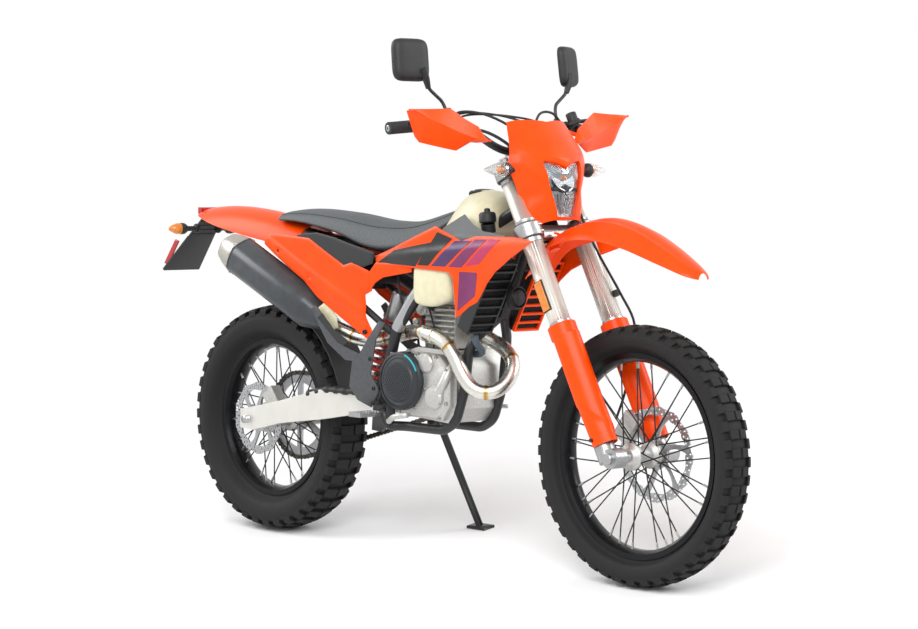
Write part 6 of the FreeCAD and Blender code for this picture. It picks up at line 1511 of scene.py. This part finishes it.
# The fork's brake pipe guide, the small display and the ignition lock above the clamp
build = Build()
turned(build, ((-8, 9), (8, 9)), onFork(470, 36, 112), forkUp, 16)
turned(build, ((0, 20), (18, 20), (20, 17)), onFork(900, 44, 0), forkUp, 28)
build.put("bar_controls_lock", blackPlastic, "bar_controls")
build = Build()
corners = [onFork(948.2 + dz, 34 + dx, dy) for dz, dx in ((0, 0), (4, 22), (26, 14), (22, -8))
           for dy in (-42, 42)]
build.take(np.array(corners), [[0, 1, 3, 2], [2, 3, 5, 4], [4, 5, 7, 6], [6, 7, 1, 0], [0, 2, 4, 6],
                               [7, 5, 3, 1]])
finishEdges(build.put("bar_controls_display", blackPlastic, "bar_controls"),
            bevel=0.004, segments=3)
dressBevelled("bar_controls", blackPlastic, 1.5, 2)
print("fork and cables ready")

# Frame, swingarm, guards
dress("main_frame", blackPaint)
for node, material, width, segments in (
        ("swingarm", forgedAluminium, 5, 4), ("frame_guards", greyGuard, 2.0, 2),
        ("foot_pegs", machinedAluminium, 1.2, 2), ("front_caliper", castAluminium, 4, 3),
        ("rear_caliper", castAluminium, 3.5, 3), ("chain_guides", blackPlastic, 2.0, 2),
        ("plate_holder", blackPlastic, 1.6, 2), ("radiators", radiatorBlack, 2.0, 2)):
    dressBevelled(node, material, width, segments)
# Painted shade: the right guard is drawn in radiator black, as its edge-on louvres show only shade
dressWithShadedRight("radiator_guards", orangePlastic, radiatorBlack)
build = Build()
screws(build, sideSpots(((577, 476), (574, 433), (586, 520), (560, 560)), -141.5), rightWay, 6, 3)
screws(build, sideSpots(((527, 636),), -133), rightWay, 7, 4)
screws(build, sideSpots(((124, 858), (275, 786)), -117.5), rightWay, 6.5, 3)
build.mirror()
build.put("frame_guards_screws", darkSteel, "frame_guards")
# Black inset on the guard's upper arm and the silver sleeve of the frame above it
build = Build()
corners = np.array([(330, 668), (420, 600), (446, 592), (470, 606), (400, 640), (352, 682)], float)
places = sideSpots(corners, -141.6) + sideSpots(corners, -143.0)
build.take(np.array(places), [[a, (a + 1) % 6, (a + 1) % 6 + 6, a + 6] for a in range(6)]
           + [[0, 1, 4, 5], [1, 2, 3, 4], [11, 10, 7, 6], [10, 9, 8, 7]])
build.mirror()
build.put("frame_guards_insets", blackPlastic, "frame_guards")
build = Build()
tube(build, [(640, -110.5, 650), (700, -107, 735), (748, -102, 790)], 17.2, 14, 24)
build.mirror()
build.put("main_frame_sleeves", silverPaint, "main_frame")

# Chain slider: a black strip with notches along the top of the swingarm
build = Build()
slide = smoothLine([(556, -86, 449), (500, -97, 458), (420, -108, 456), (350, -116, 456),
                    (270, -118, 438)], 60)
tall = 9 + 3 * (np.sin(np.arange(60) * 0.9) > 0.2)
build.grid(ringPoints(slide, tall, 12, squash=1.3), caps=True)
build.mirror()
build.put("chain_guides_slider", blackPlastic, "chain_guides")

# Chain: two rows of waisted links round the pitch line
chain = {"pitch": 15.875, "line": 82.0, "rear": 131.0, "front": 36.0}
frontSprocket = onBody(0.430, 0, 0.457)
span = frontSprocket - rearHub
slope = math.atan2(span[2], span[0])
distance = math.hypot(span[0], span[2])
flare = math.asin((chain["rear"] - chain["front"]) / distance)
upper, lower = slope + math.pi / 2 - flare, slope - math.pi / 2 + flare


# Places on a circle in side view, from start through turn
def arcLine(centre, radius, start, turn):
    angle = start + turn * np.linspace(0, 1, 120)
    return centre + radius * np.stack([np.cos(angle), 0 * angle, np.sin(angle)], axis=1)


loop = np.vstack([arcLine(rearHub, chain["rear"], upper, 2 * math.pi - (upper - lower)),
                  arcLine(frontSprocket, chain["front"], lower, upper - lower)])
loop = np.vstack([loop, loop[:1]])
run = runLength(loop)
links = int(round(run[-1] / chain["pitch"] / 2)) * 2
pins = np.stack([np.interp(np.arange(links) / links * run[-1], run, loop[:, i])
                 for i in range(3)], axis=1)
middle = (pins + np.roll(pins, -1, axis=0)) / 2
along = unit(np.roll(pins, -1, axis=0) - pins)
high = np.cross(along, [0.0, 1.0, 0.0])
step = run[-1] / links / 2
lower = np.array([(-step - 6, -3.5), (-step - 3, -6), (-step, -6.8), (0, -4.6), (step, -6.8),
                  (step + 3, -6), (step + 6, -3.5)])
side = np.vstack([lower, lower[::-1] * [1, -1]])
count = len(side)
plate = np.vstack([np.column_stack([side, np.full(count, h)]) for h in (0.0, 1.7)])
quads = [[a, (a + 1) % count, (a + 1) % count + count, a + count] for a in range(count)]
for a in range(6):
    quad = [a, a + 1, 12 - a, 13 - a]
    quads += [quad[::-1], [corner + count for corner in quad]]
build = Build()
odd = np.arange(links) % 2
for start, out in ((6.0, 1), (-7.7, -1)):
    offset = chain["line"] + start + np.where(odd > 0, 1.0, -1.0) * out
    blocks(build, (plate, quads), middle + leftWay * offset[:, None], along, high,
           np.tile(leftWay, (links, 1)))
angle = np.linspace(0, 2 * np.pi, 8, endpoint=False)
steps = ((-9.4, 2.6), (-5.2, 2.6), (-5.2, 4.6), (5.2, 4.6), (5.2, 2.6), (9.4, 2.6))
roller = np.array([[np.cos(a) * r, np.sin(a) * r, h] for h, r in steps for a in angle])
faces = gridFaces(6, 8, False, True).tolist()
faces += [[3, 2, 1, 0], [3, 0, 7, 4], [4, 7, 6, 5]]
faces += [[40 + a for a in quad] for quad in ((0, 1, 2, 3), (4, 7, 0, 3), (5, 6, 7, 4))]
blocks(build, (roller, faces), pins + leftWay * chain["line"], along, high,
       np.tile(leftWay, (links, 1)))
build.put("drive_chain_links", chainSteel, "drive_chain", sharp=35, replaces=True)

# Shock: coil, body and reservoir
shockLow = onBody(0.290, -0.12, 0.463)
shockHigh = onBody(0.372, -0.12, 0.775)
shockWay = unit(shockHigh - shockLow)
shockLength = np.linalg.norm(shockHigh - shockLow)
first = unit(np.cross(shockWay, leftWay))
second = np.cross(shockWay, first)
t = np.linspace(0, 1, 260)[:, None]
turns = 7.5 * 2 * np.pi * t
coil = (shockLow + shockWay * (0.17 + 0.60 * t) * shockLength
        + 27 * (np.cos(turns) * first + np.sin(turns) * second))
build = Build()
tube(build, coil, 5.6, smooth=False, sides=12, reference=shockWay)
build.put("shock_absorber_spring", springRed, "shock_absorber", replaces=True)
build = Build()
profile = np.array([(0, 9), (0.16, 9), (0.165, 34), (0.185, 34), (0.19, 11), (0.5, 11), (0.52, 20),
                    (0.77, 20), (0.775, 34), (0.80, 34), (0.81, 25), (0.97, 25), (1, 20)])
turned(build, profile * [shockLength, 1], shockLow, shockWay, 32)
top = shockLow + shockWay * 0.88 * shockLength
turned(build, ((-45, 20), (-42, 23), (40, 23), (44, 20)), top + [34, -34, 8], shockWay, 28)
tube(build, [top, top + [34, -34, 8]], 10, 4, 12, smooth=False)
build.put("shock_absorber_body", machinedAluminium, "shock_absorber", sharp=35)

# Cream shield under the side panel beside the muffler's cone
build = Build()
flat = stripPlaces((((300, 652), (300, 690)), ((330, 640), (336, 712)), ((372, 634), (364, 700)),
                    ((392, 640), (388, 672))), 4, 8)
place = np.stack([flat[..., 0], np.full(flat.shape[:2], -126.0) + (flat[..., 0] - 300) * 0.06,
                  flat[..., 1]], axis=-1)
shell(build, tucked(place, flat, 4, 6), 3, rightWay)
build.put("muffler_heat_shield", tankPlastic, "muffler")

# Tail: ribs on the plate carrier, red reflector at its side, pointed indicators
plateTop, plateLow = onBody(-0.215, 0, 1.005), onBody(-0.330, 0, 0.812)
build = Build()
for share in np.linspace(0.08, 0.38, 5):
    middle = plateTop + (plateLow - plateTop) * share
    wide = 34 + 30 * share
    tube(build, [middle + [3, -wide, 4], middle + [3, wide, 4]], 2.6, 2, 8, smooth=False)
rearRoot = onBody(-0.243, 0.354, 0.955)
lenses = Build()
for side in (-1, 1):
    start, way = rearRoot * [1, side, 1], np.array([-0.15, side, 0.0])
    turned(build, ((-2, 12), (4, 12), (6, 8), (30, 8), (36, 13), (44, 17.5), (56, 18), (60, 17)),
           start, way, 24)
    turned(lenses, ((58, 17.5), (70, 17), (84, 12), (96, 5), (98, 1)), start, way, 24)
build.put("rear_indicators_roots", blackPlastic, "rear_indicators", replaces=True)
lenses.put("rear_indicators_lenses", amberLens, "rear_indicators")
build = Build()
corners = np.array([(-447, 874), (-428, 868), (-484, 790), (-503, 796)], float)
build.take(np.array(sideSpots(corners, -56.0) + sideSpots(corners, -61.5)), boxFaces)
build.mirror()
finishEdges(build.put("plate_holder_reflectors", redLens, "plate_holder"), bevel=0.002)
# Radiator faces: thin upright fins, and the silver tank at each foot
tilt = math.radians(27)
radiatorUp = np.array([math.sin(tilt), 0, math.cos(tilt)])
radiatorAhead = np.array([math.cos(tilt), 0, -math.sin(tilt)])
radiatorCentre = onBody(0.663, -0.715, 0.803)
build = Build()
spots = radiatorCentre + leftWay * np.linspace(-46, 46, 24)[:, None] + radiatorAhead * 17
blocks(build, boxBase(196, 1.2, 3.0), spots,
       *(np.tile(way, (24, 1)) for way in (radiatorUp, leftWay, radiatorAhead)))
build.mirror()
build.put("radiators_fins", radiatorBlack, "radiators")
build = Build()
blocks(build, boxBase(92, 30, 20, 0.8), np.array([radiatorCentre - radiatorUp * 92]),
       leftWay[None], radiatorAhead[None], -radiatorUp[None])
build.mirror()
finishEdges(build.put("radiators_tanks", machinedAluminium, "radiators"), bevel=0.004,
            segments=3)
# Horn face: rings and a hub
hornPlace = onBody(0.694, -0.23, 0.794) + [22, 0, 0]
build = Build()
for size in (30, 24, 18):
    turned(build, ((0, size), (1.6, size - 1), (0, size - 3)), hornPlace - [4, 0, 0], forward, 40)
turned(build, ((0, 9), (3, 8), (4, 3)), hornPlace - [3, 0, 0], forward, 24)
build.put("horn_face", blackPaint, "horn")
print("frame, drive and small pieces ready")

# Nodes whose own shape shows, in a real finish
plainFinishes = {
    blackPlastic: ("subframe", "horn", "inner_fender", "airbox"), blackPaint: ("side_stand",),
    machinedAluminium: ("front_axle", "rear_axle"), castAluminium: ("front_hub", "rear_hub",
                                                                    "foot_levers"),
    darkSteel: ("front_spokes", "rear_spokes"), blackRim: ("front_rim", "rear_rim"),
    discSteel: ("rear_sprocket",), hoseRubber: ("coolant_hoses",), redLens: ("tail_light",),
    orangePlastic: ("rear_fender",)}
for material, nodes in plainFinishes.items():
    for node in nodes:
        dress(node, material)
print("CAD nodes dressed")
